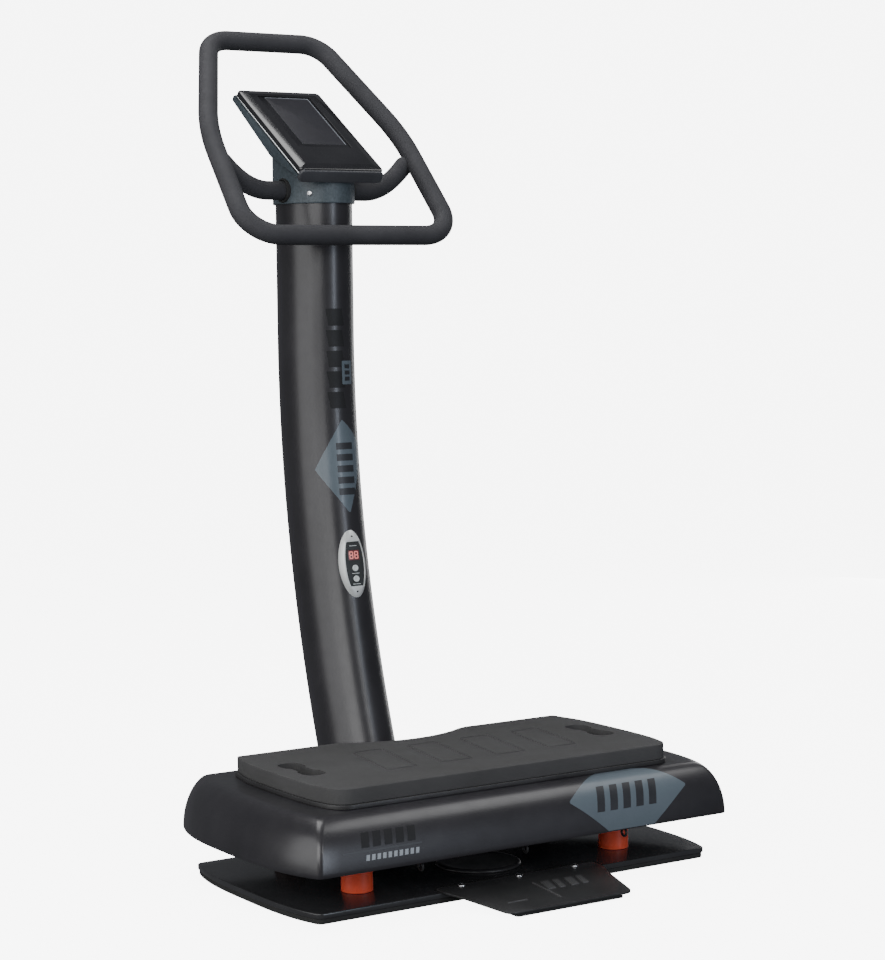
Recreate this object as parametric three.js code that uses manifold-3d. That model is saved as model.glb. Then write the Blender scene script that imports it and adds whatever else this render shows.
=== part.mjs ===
// Vibration plate: a vibrating platform on rubber buffers, a fixed base and a column with a grab loop.
// Millimetres, +Z up. Origin on the floor under the middle of the platform; the column stands towards +Y.
import * as THREE from 'three';
import { mergeVertices } from 'three/addons/utils/BufferGeometryUtils.js';
import Module from 'manifold-3d';

const wasm = await Module();
wasm.setup();

// ---- driving dimensions ----
const GAP = 0.3;                 // clearance between pieces that touch
const ARC_STEPS = 3;             // half the number of segments in a rounded corner

const BASE = { front: -216, back: 211, half: 398, bow: 23, corner: 14, top: 18.5, thick: 9 };
const RUBBER_INSET = 2;          // underlay set back from the base plate's edge
const TAIL = { half: 150, back: 385, corner: 25 };            // base plate's tail under the column
const STEP = { half: 149, tipHalf: 125, tip: -361, knee: -264, rear: -196, thick: 3.2, tipTop: 9.5 };
const BUFFER = { x: 268, y: 118, radius: 27, top: 97 };
const DISC = { y: -82, radius: 75 };

const COVER = { front: -252.5, back: 224, half: 417, bow: 37.5, bottom: 84.7, top: 174, roll: 55,
  rearEdge: 20, wall: 4 };
const OPENING = { half: 330, front: -150, back: 139 };         // in the cover, under the top plate
const NOTCH = { y: 300, radius: 112 };                        // clearance round the column
const TOP_PLATE = { bottom: COVER.top + GAP, top: 182, margin: 3 };
const MAT = { front: -187, back: 166, half: 340, bow: 18, corner: 36, rearCorner: 8, top: 208.5 };
const MAT_NOTCH = { half: 130, depth: 42 };
const PLATE_NOTCH = { half: 130, depth: 20 };
const GRIP = { x: 304, end: 38, lobe: 21, waist: 14 };

const COLUMN = { a: 67.5, b: 86, wall: 4, y: 455.5, bendTop: 940, bendRadius: 2300, top: 1224 };
const FOOT = { half: 112, front: 166, back: 380, thick: 10 };
const NECK = { bottom: 1180, clearance: 0.7, wall: 4.3 };
const GRIP_TUBE = 18.5;          // radius of the foam-covered loop
const ARM = { z: 1205, y: 445, radius: 17.8, straight: 105, bend: 158, end: [212, 449, 1274] };
const LOOP = { bottom: [221, 307.5, 1119], knee: [210, 478.5, 1316], top: [121, 639.5, 1500],
  bottomBend: 64, kneeBend: 360, topBend: 58 };

const CONSOLE = { y: 343.5, z: 1242.6, length: 291, half: 90, tilt: Math.atan2(158.4, 237) };
const BEZEL_DEPTH = 12;
const CHAMFER = 3;
const TRIM_DEPTH = 2.4;
const SCREEN = { half: 58, low: 78, high: 265, recess: 1.6, thick: 2.5 };

const PANEL = { z: 507, half: 27.5, halfHeight: 65, proud: 6, insertHalf: 20, insertHalfHeight: 42 };
const DISPLAY = { half: 12, low: 7, high: 26 };
const BUTTON = { radius: 6, offsets: [-8, -28], travel: 1.5 };

const SCREW = { angle: 0.72, z: 1198, radius: 4.2, head: 2.5, lift: 1.2 };   // angle: from the middle, left

const MOTOR = { x: 112, z: 122, radius: 40, bore: 34, half: 62, capDepth: 18.2, capFloor: 4, shaft: 8,
  bearing: 3, rotor: 29, rotorHalf: 48, weight: 9 };
const MOTOR_FOOT = { half: 34, reach: 45, top: 164.2 };
const RAIL = { x: 318, y: 118, half: 20, bottom: 126, top: 173.6, wall: 4, slotTop: 159.6 };
const CROSSBAR = { places: [-290, -200, 0, 200, 290], half: 18, bottom: 160 };
const MOTOR_PLATE = { half: 200, reach: 50, bottom: 164.5 };
const SOCKET_RADIUS = 33;        // of the frame's seats over the buffers
const INLET = { z: 130, half: 24, halfHeight: 34, depth: 25, proud: 10, floor: 1 };
const HOOK = { places: [['left', -210], ['centre', 0], ['right', 210]], y: -226, z: 73, ring: 6.5,
  wire: 2.2, stem: 3 };
const HOOK_TAB = { half: 14, front: -242, back: -206, bottom: 92, top: 96 };
const HOOK_ARM = { half: 16, thick: 4, postBack: -133, postThick: 5, postTop: 140 };
const WHEEL = { x: 140, y: 419, z: 36, radius: 31, half: 13, axle: 6, edge: 3 };
const BRACKET = { thick: 5, front: 340, back: 382, heel: 24 };

// ---- materials ----
function finish(color, roughness, metalness) {
  return new THREE.MeshStandardMaterial({ color, roughness, metalness });
}
const glossBlack = finish(0x0b0b0d, 0.12, 0);
const satinBlack = finish(0x18181b, 0.38, 0.2);
const rubberBlack = finish(0x1c1c1d, 0.85, 0);
const matFoam = finish(0x3c3c3d, 0.9, 0);
const gripFoam = finish(0x3a3a3e, 0.8, 0);
const bufferRed = finish(0xd94f32, 0.5, 0);
const bufferDark = finish(0x2b1311, 0.6, 0);
const shellGrey = finish(0x4c5860, 0.55, 0);
const trimSilver = finish(0xd6dadd, 0.25, 0.9);
const boltSilver = finish(0xc4c6c8, 0.3, 1);
const screenGlass = finish(0x101114, 0.08, 0);
const ledRed = finish(0xc8404a, 0.3, 0);
const buttonWhite = finish(0xe2e6e6, 0.4, 0);
const motorGrey = finish(0x6a6f72, 0.5, 0.4);
const steel = finish(0x9a9da0, 0.35, 1);
const boardGreen = finish(0x2f5a40, 0.6, 0);

const machine = new THREE.Group();

// ---- solids: closed meshes that can be joined and cut ----
function solid(geometry) {
  const bare = geometry.index ? geometry.toNonIndexed() : geometry.clone();
  bare.deleteAttribute('normal');
  bare.deleteAttribute('uv');
  const merged = mergeVertices(bare, 1e-4);
  return new wasm.Manifold(new wasm.Mesh({
    numProp: 3,
    vertProperties: new Float32Array(merged.attributes.position.array),
    triVerts: new Uint32Array(merged.index.array),
  }));
}

function add(name, body, material) {
  const data = body.getMesh();
  const geometry = new THREE.BufferGeometry();
  geometry.setAttribute('position', new THREE.BufferAttribute(data.vertProperties, 3));
  geometry.setIndex(new THREE.BufferAttribute(data.triVerts, 1));
  geometry.computeVertexNormals();
  const mesh = new THREE.Mesh(geometry, material);
  mesh.name = name;
  machine.add(mesh);
  return mesh;
}

function block(x0, x1, y0, y1, z0, z1) {
  const geometry = new THREE.BoxGeometry(x1 - x0, y1 - y0, z1 - z0);
  return solid(geometry.translate((x0 + x1) / 2, (y0 + y1) / 2, (z0 + z1) / 2));
}

// A round bar from one point to another
function bar(from, to, radius, sides = 24) {
  const start = new THREE.Vector3(...from);
  const span = new THREE.Vector3(...to).sub(start);
  const geometry = new THREE.CylinderGeometry(radius, radius, span.length(), sides);
  const turn = new THREE.Quaternion().setFromUnitVectors(
    new THREE.Vector3(0, 1, 0), span.clone().normalize());
  geometry.applyQuaternion(turn);
  const middle = start.addScaledVector(span, 0.5);
  return solid(geometry.translate(middle.x, middle.y, middle.z));
}

// A flat plate: the outline in plan, from one height to another
function plate(outline, z0, z1) {
  const geometry = new THREE.ExtrudeGeometry(outline, {
    depth: z1 - z0, bevelEnabled: false, curveSegments: ARC_STEPS });
  return solid(geometry.translate(0, 0, z0));
}

// A closed outline through corners [x, y, radius], going anticlockwise
function outlineOf(corners) {
  const shape = new THREE.Shape();
  const count = corners.length;
  corners.forEach(([x, y, radius = 0], i) => {
    const corner = new THREE.Vector2(x, y);
    if (radius === 0) {
      if (i === 0) shape.moveTo(x, y);
      else shape.lineTo(x, y);
      return;
    }
    const before = corners[(i + count - 1) % count];
    const after = corners[(i + 1) % count];
    const back = new THREE.Vector2(before[0], before[1]).sub(corner).normalize();
    const ahead = new THREE.Vector2(after[0], after[1]).sub(corner).normalize();
    const halfAngle = Math.acos(back.dot(ahead)) / 2;
    const reach = radius / Math.tan(halfAngle);
    const bisector = back.clone().add(ahead).normalize();
    const centre = corner.clone().addScaledVector(bisector, radius / Math.sin(halfAngle));
    const start = corner.clone().addScaledVector(back, reach).sub(centre).angle();
    const end = corner.clone().addScaledVector(ahead, reach).sub(centre).angle();
    shape.absarc(centre.x, centre.y, radius, start, end, back.cross(ahead) > 0);
  });
  shape.closePath();
  return shape;
}

function rectangle(x0, x1, y0, y1, radius = 0) {
  return outlineOf([[x0, y0, radius], [x1, y0, radius], [x1, y1, radius], [x0, y1, radius]]);
}

function ellipse(a, b) {
  return new THREE.Shape().absellipse(0, 0, a, b, 0, 2 * Math.PI, false);
}

// The bowed right-hand end of a plan outline, from front to back
function bowedEnd({ front, back, half, bow }, inset = 0, steps = 8) {
  const points = [];
  const middle = (front + back) / 2;
  const reach = (back - front) / 2;
  for (let i = 1; i < steps; i += 1) {
    const t = -1 + (2 * i) / steps;
    points.push([half - inset + bow * (1 - Math.abs(t) ** 3.2), middle + t * (reach - inset)]);
  }
  return points;
}

function bowedCorners(plan, inset, radius, rearRadius = radius) {
  const { front, back, half } = plan;
  const right = bowedEnd(plan, inset);
  const left = right.map(([x, y]) => [-x, y]).reverse();
  return [
    [-half + inset, front + inset, radius], [half - inset, front + inset, radius], ...right,
    [half - inset, back - inset, rearRadius], [-half + inset, back - inset, rearRadius], ...left,
  ];
}

// ---- base ----
function baseSlab(inset, z0, z1) {
  const main = plate(outlineOf(bowedCorners(BASE, inset, BASE.corner)), z0, z1);
  const half = TAIL.half - inset;
  const tail = plate(rectangle(-half, half, 100, TAIL.back - inset, TAIL.corner), z0, z1);
  return main.add(tail);
}
const plateBottom = BASE.top - BASE.thick;
add('base_plate', baseSlab(0, plateBottom, BASE.top), glossBlack);
add('base_rubber', baseSlab(RUBBER_INSET, 0, plateBottom - GAP), rubberBlack);

// Step plate: lies on the base plate, then slopes down to the floor in front
function stepProfile(lift, thick) {
  const rest = BASE.top + GAP + lift;
  return outlineOf([
    [STEP.tip - 20, STEP.tipTop - STEP.thick + lift - 1.5], [BASE.front - 4, rest],
    [STEP.rear, rest], [STEP.rear, rest + thick],
    [BASE.front - 5, rest + thick], [STEP.tip - 20, STEP.tipTop - STEP.thick + lift + thick - 1.5],
  ]);
}
function acrossX(profile, half) {
  const geometry = new THREE.ExtrudeGeometry(profile, {
    depth: 2 * half, bevelEnabled: false, curveSegments: ARC_STEPS });
  // profile x runs along +Y and profile y along +Z
  const turn = new THREE.Matrix4().makeBasis(
    new THREE.Vector3(0, 1, 0), new THREE.Vector3(0, 0, 1), new THREE.Vector3(1, 0, 0));
  return solid(geometry.applyMatrix4(turn).translate(-half, 0, 0));
}
const stepOutline = outlineOf([
  [-STEP.tipHalf, STEP.tip, 18], [STEP.tipHalf, STEP.tip, 18], [STEP.half, STEP.knee, 20],
  [STEP.half + 13, -228, 10], [STEP.half + 13, STEP.rear, 4],
  [-STEP.half - 13, STEP.rear, 4], [-STEP.half - 13, -228, 10], [-STEP.half, STEP.knee, 20],
]);
const stepHoles = [-117, 0, 117];
const stepPlate = acrossX(stepProfile(0, STEP.thick), 200).intersect(plate(stepOutline, 0, 60));
const stepFootBody = acrossX(outlineOf([
  [STEP.tip + 3, 0], [-300, 0], [-300, 30], [STEP.tip + 3, 30]]), STEP.tipHalf - 16);
const underStep = acrossX(stepProfile(-30 - GAP, 30), 200);
const boltHeadBottom = BASE.top + GAP + STEP.thick + GAP;
add('step_plate', stepPlate, satinBlack);
add('step_rubber', stepFootBody.intersect(underStep), rubberBlack);
['left', 'centre', 'right'].forEach((side, i) => {
  const profile = [[0, 0], [6.5, 0], [6, 2], [4, 3.4], [0, 3.8]].map(([r, h]) => new THREE.Vector2(r, h));
  const head = new THREE.LatheGeometry(profile, 16).rotateX(Math.PI / 2);
  add(`step_bolt_${side}`, solid(head.translate(stepHoles[i], -207, boltHeadBottom)), boltSilver);
});

const discProfile = [[0, 0], [70, 0], [DISC.radius, 2], [DISC.radius, 4], [71, 6.2], [0, 6.2]];
const disc = new THREE.LatheGeometry(discProfile.map(([r, h]) => new THREE.Vector2(r, h)), 40);
add('base_disc', solid(disc.rotateX(Math.PI / 2).translate(0, DISC.y, BASE.top + GAP)), glossBlack);

// ---- rubber buffers between base and platform ----
for (const [endName, sy] of [['front', -1], ['rear', 1]]) {
  for (const [sideName, sx] of [['left', -1], ['right', 1]]) {
    const at = [sx * BUFFER.x, sy * BUFFER.y];
    const body = bar([...at, BASE.top + GAP], [...at, BUFFER.top], BUFFER.radius, 24);
    add(`buffer_${endName}_${sideName}`, body, sy < 0 ? bufferRed : bufferDark);
  }
}

// ---- column ----
function columnY(z) {
  const drop = Math.max(0, COLUMN.bendTop - z);
  return COLUMN.y - drop ** 2 / (2 * COLUMN.bendRadius);
}
class ColumnLine extends THREE.Curve {
  constructor(bottom, top) {
    super();
    this.bottom = bottom;
    this.top = top;
  }
  getPoint(t, target = new THREE.Vector3()) {
    const z = this.bottom + t * (this.top - this.bottom);
    return target.set(0, columnY(z), z);
  }
}
function columnSolid(growth) {
  const section = ellipse(COLUMN.a + growth, COLUMN.b + growth);
  return solid(new THREE.ExtrudeGeometry(section, {
    steps: 13, curveSegments: 14, extrudePath: new ColumnLine(-60, COLUMN.top + 60) }));
}
// An upright length of the same oval, for what fits round the column's straight top
function ovalSleeve(growth, z0, z1) {
  const geometry = new THREE.ExtrudeGeometry(ellipse(COLUMN.a + growth, COLUMN.b + growth), {
    depth: z1 - z0, bevelEnabled: false, curveSegments: 14 });
  return solid(geometry.translate(0, COLUMN.y, z0));
}
const footTop = BASE.top + GAP + FOOT.thick;
const columnRange = block(-200, 200, -100, 800, footTop + GAP, COLUMN.top);
const armLine = buildArmCurve(0);
const armSweep = (radius) => solid(new THREE.ExtrudeGeometry(ellipse(radius, radius), {
  steps: 22, curveSegments: 6, extrudePath: armLine }));
const armHole = armSweep(ARM.radius + GAP);
const column = columnSolid(0).intersect(columnRange).subtract(columnSolid(-COLUMN.wall))
  .subtract(armHole);
add('column', column, satinBlack);

const footOutline = rectangle(-FOOT.half, FOOT.half, FOOT.front, FOOT.back, 30);
add('column_foot', plate(footOutline, BASE.top + GAP, footTop), satinBlack);
const footBolts = [['front_left', -92, 190], ['front_right', 92, 190],
  ['rear_left', -92, 356], ['rear_right', 92, 356]];
for (const [place, x, y] of footBolts) {
  const head = bar([x, y, footTop + GAP], [x, y, footTop + GAP + 8], 9, 6);
  add(`foot_bolt_${place}`, head, boltSilver);
}

// Motor drive board on a tray inside the column
const tray = new THREE.BoxGeometry(78, 34, 240);
tray.rotateX(-0.235).translate(0, 368, 330);
add('drive_unit', solid(tray), boardGreen);

// ---- grab loop and arm ----
function buildArmCurve() {
  const end = new THREE.Vector3(...ARM.end);
  const half = new THREE.CurvePath();
  const bendStart = new THREE.Vector3(ARM.straight, ARM.y, ARM.z);
  const control = new THREE.Vector3(ARM.bend, ARM.y, ARM.z);
  half.add(new THREE.LineCurve3(new THREE.Vector3(0, ARM.y, ARM.z), bendStart));
  half.add(new THREE.QuadraticBezierCurve3(bendStart, control, end));
  class WholeArm extends THREE.Curve {
    getPoint(t, target = new THREE.Vector3()) {
      const side = t < 0.5 ? -1 : 1;
      const point = half.getPointAt(Math.abs(2 * t - 1));
      return target.set(side * point.x, point.y, point.z);
    }
  }
  return new WholeArm();
}

class LoopCurve extends THREE.Curve {
  constructor() {
    super();
    const mirror = ([x, y, z]) => [-x, y, z];
    const corners = [LOOP.bottom, LOOP.knee, LOOP.top, mirror(LOOP.top), mirror(LOOP.knee),
      mirror(LOOP.bottom)].map((p) => new THREE.Vector3(...p));
    this.path = new THREE.CurvePath();
    const bends = [LOOP.bottomBend, LOOP.kneeBend, LOOP.topBend, LOOP.topBend, LOOP.kneeBend,
      LOOP.bottomBend];
    const cuts = corners.map((corner, i) => {
      const back = corners[(i + 5) % 6].clone().sub(corner).normalize();
      const ahead = corners[(i + 1) % 6].clone().sub(corner).normalize();
      const reach = bends[i] / Math.tan(Math.acos(back.dot(ahead)) / 2);
      return { corner, from: corner.clone().addScaledVector(back, reach),
        to: corner.clone().addScaledVector(ahead, reach) };
    });
    cuts.forEach(({ corner, from, to }, i) => {
      this.path.add(new THREE.QuadraticBezierCurve3(from, corner, to));
      this.path.add(new THREE.LineCurve3(to, cuts[(i + 1) % 6].from));
    });
  }
  getPoint(t, target = new THREE.Vector3()) {
    return target.copy(this.path.getPointAt(t % 1));
  }
}
function loopSolid(radius) {
  return solid(new THREE.TubeGeometry(new LoopCurve(), 72, radius, 10, true));
}
const loop = loopSolid(GRIP_TUBE);
add('handlebar_loop', loop, gripFoam);
add('handlebar_arm', armSweep(ARM.radius).subtract(loopSolid(GRIP_TUBE + GAP)), gripFoam);

// ---- console: face plane frame, x across, v up the face, w out of the face ----
const consoleFrame = new THREE.Matrix4().makeTranslation(0, CONSOLE.y, CONSOLE.z)
  .multiply(new THREE.Matrix4().makeRotationX(CONSOLE.tilt));
function onConsole(geometry) {
  return solid(geometry.applyMatrix4(consoleFrame));
}
function consoleSlab(half, low, high, radius, w0, w1) {
  const geometry = new THREE.ExtrudeGeometry(rectangle(-half, half, low, high, radius), {
    depth: w1 - w0, bevelEnabled: false, curveSegments: ARC_STEPS });
  return onConsole(geometry.translate(0, 0, w0));
}
function consoleProfile(points, half) {
  const geometry = new THREE.ExtrudeGeometry(outlineOf(points), {
    depth: 2 * half, bevelEnabled: false, curveSegments: ARC_STEPS });
  const turn = new THREE.Matrix4().makeBasis(
    new THREE.Vector3(0, 1, 0), new THREE.Vector3(0, 0, 1), new THREE.Vector3(1, 0, 0));
  return onConsole(geometry.applyMatrix4(turn).translate(-half, 0, 0));
}
const trimBottom = -BEZEL_DEPTH - GAP;
const shellTop = trimBottom - TRIM_DEPTH - GAP;
const chamfered = new THREE.ExtrudeGeometry(
  rectangle(-CONSOLE.half, CONSOLE.half, 0, CONSOLE.length, 7), {
    depth: BEZEL_DEPTH - CHAMFER, bevelThickness: CHAMFER, bevelSize: CHAMFER,
    bevelOffset: -CHAMFER, bevelSegments: 2, curveSegments: 2 });
chamfered.translate(0, 0, -BEZEL_DEPTH);
const screenPocket = consoleSlab(
  SCREEN.half + GAP, SCREEN.low - GAP, SCREEN.high + GAP, 3, -SCREEN.recess - SCREEN.thick - GAP, 5);
const bezelRange = consoleSlab(200, -50, 400, 0, -BEZEL_DEPTH, 20);
add('console_bezel', onConsole(chamfered).intersect(bezelRange).subtract(screenPocket), glossBlack);
add('console_screen', consoleSlab(SCREEN.half, SCREEN.low, SCREEN.high, 2.7,
  -SCREEN.recess - SCREEN.thick, -SCREEN.recess), screenGlass);
add('console_trim', consoleSlab(CONSOLE.half + 1, -1, CONSOLE.length + 1, 8,
  trimBottom - TRIM_DEPTH, trimBottom), trimSilver);
const shellDepths = [[0, shellTop], [CONSOLE.length + 2, shellTop], [CONSOLE.length + 8, -20, 4],
  [CONSOLE.length + 8, -30, 4], [111, -44, 12], [5, -23, 6]];
const reversed = shellDepths.slice().reverse();
add('console_shell', consoleProfile(reversed, CONSOLE.half), shellGrey);

// ---- neck housing: sleeve over the column's top, cut to the underside of the console ----
const underConsole = consoleProfile([[-60, 400], [-60, -15 - GAP], [5, -23 - GAP],
  [111, -44 - GAP], [CONSOLE.length + 8, -30 - GAP], [500, -8], [500, 400]], 150);
const neck = ovalSleeve(NECK.clearance + NECK.wall, NECK.bottom, 1400)
  .subtract(ovalSleeve(NECK.clearance, NECK.bottom - 10, 1430))
  .subtract(underConsole)
  .subtract(bar([-100, ARM.y, ARM.z], [100, ARM.y, ARM.z], ARM.radius + 5.5, 28));
add('neck_housing', neck, shellGrey);
const neckOuter = COLUMN.a + NECK.clearance + NECK.wall;
const collarSides = [['left', -1], ['right', 1]];
for (const [side, sx] of collarSides) {
  const inner = sx * (COLUMN.a - 8);
  const outer = sx * (neckOuter + 3);
  const ring = bar([inner, ARM.y, ARM.z], [outer, ARM.y, ARM.z], ARM.radius + 5.2, 28)
    .subtract(armHole)
    .subtract(ovalSleeve(GAP, 1140, 1430));
  add(`arm_collar_${side}`, ring, rubberBlack);
}
const screwOut = new THREE.Vector3(-Math.sin(SCREW.angle), -Math.cos(SCREW.angle), 0);
const screwSeat = new THREE.Vector3(
  -neckOuter * Math.sin(SCREW.angle),
  COLUMN.y - (COLUMN.b + NECK.clearance + NECK.wall) * Math.cos(SCREW.angle),
  SCREW.z);
const screwFrom = screwSeat.clone().addScaledVector(screwOut, SCREW.lift);
const screwTo = screwFrom.clone().addScaledVector(screwOut, SCREW.head);
add('neck_screw', bar(screwFrom.toArray(), screwTo.toArray(), SCREW.radius, 16), boltSilver);

// ---- oval control panel on the front of the column ----
const panelSlope = Math.atan((COLUMN.bendTop - PANEL.z) / COLUMN.bendRadius);
const panelFrame = new THREE.Matrix4()
  .makeTranslation(0, columnY(PANEL.z) - COLUMN.b / Math.cos(panelSlope), PANEL.z)
  .multiply(new THREE.Matrix4().makeRotationX(Math.PI / 2 - panelSlope));
function panelBody(half, halfHeight, w0, w1, corners = 0) {
  const outline = corners || ellipse(half, halfHeight);
  const geometry = new THREE.ExtrudeGeometry(outline, {
    depth: w1 - w0, bevelEnabled: false, curveSegments: 8 });
  return solid(geometry.translate(0, 0, w0).applyMatrix4(panelFrame));
}
const againstColumn = columnSolid(GAP);
function insertOutline(grow) {
  const half = PANEL.insertHalf + grow;
  const flat = PANEL.insertHalfHeight + grow;
  const shape = new THREE.Shape();
  const lean = Math.asin(flat / (PANEL.halfHeight - 6 + grow));
  shape.absellipse(0, 0, half, PANEL.halfHeight - 6 + grow, -lean, lean, false);
  shape.absellipse(0, 0, half, PANEL.halfHeight - 6 + grow, Math.PI - lean, Math.PI + lean, false);
  shape.closePath();
  return shape;
}
const insertBottom = PANEL.proud - 4;
const panelBezel = panelBody(PANEL.half, PANEL.halfHeight, -40, PANEL.proud)
  .subtract(panelBody(0, 0, insertBottom - GAP, 40, insertOutline(GAP)))
  .subtract(againstColumn);
add('panel_bezel', panelBezel, trimSilver);
let insert = panelBody(0, 0, insertBottom, PANEL.proud - 0.6, insertOutline(0));
const displayOutline = (grow) => rectangle(-DISPLAY.half - grow, DISPLAY.half + grow,
  DISPLAY.low - grow, DISPLAY.high + grow, 1.5 + grow);
insert = insert.subtract(panelBody(0, 0, PANEL.proud - 2.2, 40, displayOutline(GAP)));
for (const offset of BUTTON.offsets) {
  insert = insert.subtract(panelButton(offset, BUTTON.radius + 0.5, insertBottom + 0.3, 30));
}
function panelButton(offset, radius, w0, w1) {
  const geometry = new THREE.CylinderGeometry(radius, radius, w1 - w0, 16).rotateX(Math.PI / 2);
  return solid(geometry.translate(0, offset, (w0 + w1) / 2).applyMatrix4(panelFrame));
}
add('panel_insert', insert, rubberBlack);
add('panel_display', panelBody(0, 0, PANEL.proud - 1.9, PANEL.proud - 0.5, displayOutline(0)), ledRed);
['upper', 'lower'].forEach((name, i) => {
  const buttonBottom = insertBottom + 0.3 + BUTTON.travel + 0.2;
  const body = panelButton(BUTTON.offsets[i], BUTTON.radius, buttonBottom, PANEL.proud + 1.4);
  add(`panel_button_${name}`, body, buttonWhite);
});

// ---- transport wheels behind the tail ----
const axleReach = WHEEL.x + WHEEL.half + 6;
for (const [side, sx] of collarSides) {
  const x0 = sx * (WHEEL.x - WHEEL.half - 2);
  const x1 = x0 - sx * BRACKET.thick;
  const seat = BASE.top + GAP;
  const ear = acrossX(outlineOf([[BRACKET.front, seat], [BRACKET.back, seat],
    [WHEEL.y + 12, BRACKET.heel, 4],
    [WHEEL.y + 14, WHEEL.z + 14, 10], [WHEEL.y - 14, WHEEL.z + 14, 10]]), 200)
    .intersect(block(Math.min(x0, x1), Math.max(x0, x1), 300, 450, 0, 100))
    .subtract(bar([-200, WHEEL.y, WHEEL.z], [200, WHEEL.y, WHEEL.z], WHEEL.axle + GAP, 20));
  add(`wheel_bracket_${side}`, ear, satinBlack);
  const tyre = [[WHEEL.axle + 0.4, -WHEEL.half], [WHEEL.radius - WHEEL.edge, -WHEEL.half],
    [WHEEL.radius, -WHEEL.half + WHEEL.edge], [WHEEL.radius, WHEEL.half - WHEEL.edge],
    [WHEEL.radius - WHEEL.edge, WHEEL.half], [WHEEL.axle + 0.4, WHEEL.half], [WHEEL.axle + 0.4, -WHEEL.half]];
  const wheel = new THREE.LatheGeometry(tyre.map(([r, h]) => new THREE.Vector2(r, h)), 28);
  add(`transport_wheel_${side}`,
    solid(wheel.rotateZ(-Math.PI / 2).translate(sx * WHEEL.x, WHEEL.y, WHEEL.z)), rubberBlack);
}
add('wheel_axle', bar([-axleReach, WHEEL.y, WHEEL.z], [axleReach, WHEEL.y, WHEEL.z], WHEEL.axle, 20), steel);

// ---- mains inlet and power switch low on the back of the column ----
const inletSlope = Math.atan((COLUMN.bendTop - INLET.z) / COLUMN.bendRadius);
const inletFrame = new THREE.Matrix4()
  .makeTranslation(0, columnY(INLET.z) + COLUMN.b / Math.cos(inletSlope), INLET.z)
  .multiply(new THREE.Matrix4().makeRotationX(-Math.PI / 2 - inletSlope));
function inletBlock(x0, x1, y0, y1, w0, w1) {
  const geometry = new THREE.BoxGeometry(x1 - x0, y1 - y0, w1 - w0);
  geometry.translate((x0 + x1) / 2, (y0 + y1) / 2, (w0 + w1) / 2);
  return solid(geometry.applyMatrix4(inletFrame));
}
const inletBody = inletBlock(-INLET.half, INLET.half, -INLET.halfHeight, INLET.halfHeight,
  -INLET.depth, INLET.proud)
  .subtract(columnSolid(GAP))
  .subtract(inletBlock(-13, 13, 2, 26, INLET.floor, 30))
  .subtract(inletBlock(-11, 11, -28, -8, INLET.floor, 30));
add('power_inlet', inletBody, rubberBlack);
add('power_switch', inletBlock(-10, 10, -27, -9, INLET.floor + 2, INLET.proud + 2), bufferRed);

// ---- platform: cover, top plate, frame ----
// The ends bow outwards; the rolled edge runs out past the flat rear wall, which cuts it off
function coverEndX(y) {
  const middle = (COVER.front + COVER.back) / 2;
  const reach = (COVER.back - COVER.front) / 2;
  return COVER.half + COVER.bow * (1 - Math.abs((y - middle) / reach) ** 3.2);
}
function coverBlock(inset) {
  const rollBack = COVER.back + COVER.roll - COVER.rearEdge;
  const steps = 9;
  const right = [];
  for (let i = 0; i <= steps; i += 1) {
    const y = COVER.front + (i / steps) * (rollBack - COVER.front);
    right.push([coverEndX(y), y]);
  }
  const left = right.map(([x, y]) => [-x, y]).reverse();
  const geometry = new THREE.ExtrudeGeometry(outlineOf([...right, ...left]), {
    depth: 10, bevelThickness: COVER.top - COVER.bottom, bevelSize: COVER.roll,
    bevelOffset: -COVER.roll - inset, bevelSegments: 8 });
  return solid(geometry.translate(0, 0, COVER.bottom - 10 - inset))
    .intersect(block(-600, 600, -400, COVER.back - inset, -200, 400));
}
function columnNotch(radius) {
  return bar([0, NOTCH.y, 0], [0, NOTCH.y, 400], radius, 48);
}
const belowCover = block(-600, 600, -400, 400, -200, COVER.bottom);
const coverInside = coverBlock(COVER.wall).subtract(columnNotch(NOTCH.radius + COVER.wall));
const cover = coverBlock(0).subtract(belowCover).subtract(columnNotch(NOTCH.radius))
  .subtract(coverInside)
  .subtract(block(-OPENING.half, OPENING.half, OPENING.front, OPENING.back, 100, 300));
add('platform_cover', cover, satinBlack);

function matOutline(grow) {
  const plan = { front: MAT.front - grow, back: MAT.back + grow, half: MAT.half + grow, bow: MAT.bow };
  return outlineOf(bowedCorners(plan, 0, MAT.corner + grow, MAT.rearCorner));
}
// A round cutter that leaves a shallow hollow in a rear edge, for the column
function rearHollow({ half, depth }, edge) {
  const radius = (half ** 2 + depth ** 2) / (2 * depth);
  const centre = edge - depth + radius;
  return bar([0, centre, 0], [0, centre, 400], radius, 48);
}
const plateSheet = plate(matOutline(TOP_PLATE.margin), TOP_PLATE.bottom, TOP_PLATE.top);
add('top_plate', plateSheet.subtract(rearHollow(PLATE_NOTCH, MAT.back + TOP_PLATE.margin)), satinBlack);

function gripHole(x) {
  const outline = rectangle(x - GRIP.waist, x + GRIP.waist, -GRIP.end, GRIP.end);
  return plate(outline, 100, 300)
    .add(bar([x, -GRIP.end, 100], [x, -GRIP.end, 300], GRIP.lobe, 20))
    .add(bar([x, GRIP.end, 100], [x, GRIP.end, 300], GRIP.lobe, 20));
}
const mat = plate(matOutline(0), TOP_PLATE.top + GAP, MAT.top).subtract(rearHollow(MAT_NOTCH, MAT.back))
  .subtract(gripHole(-GRIP.x)).subtract(gripHole(GRIP.x));
add('mat', mat, matFoam);

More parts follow.
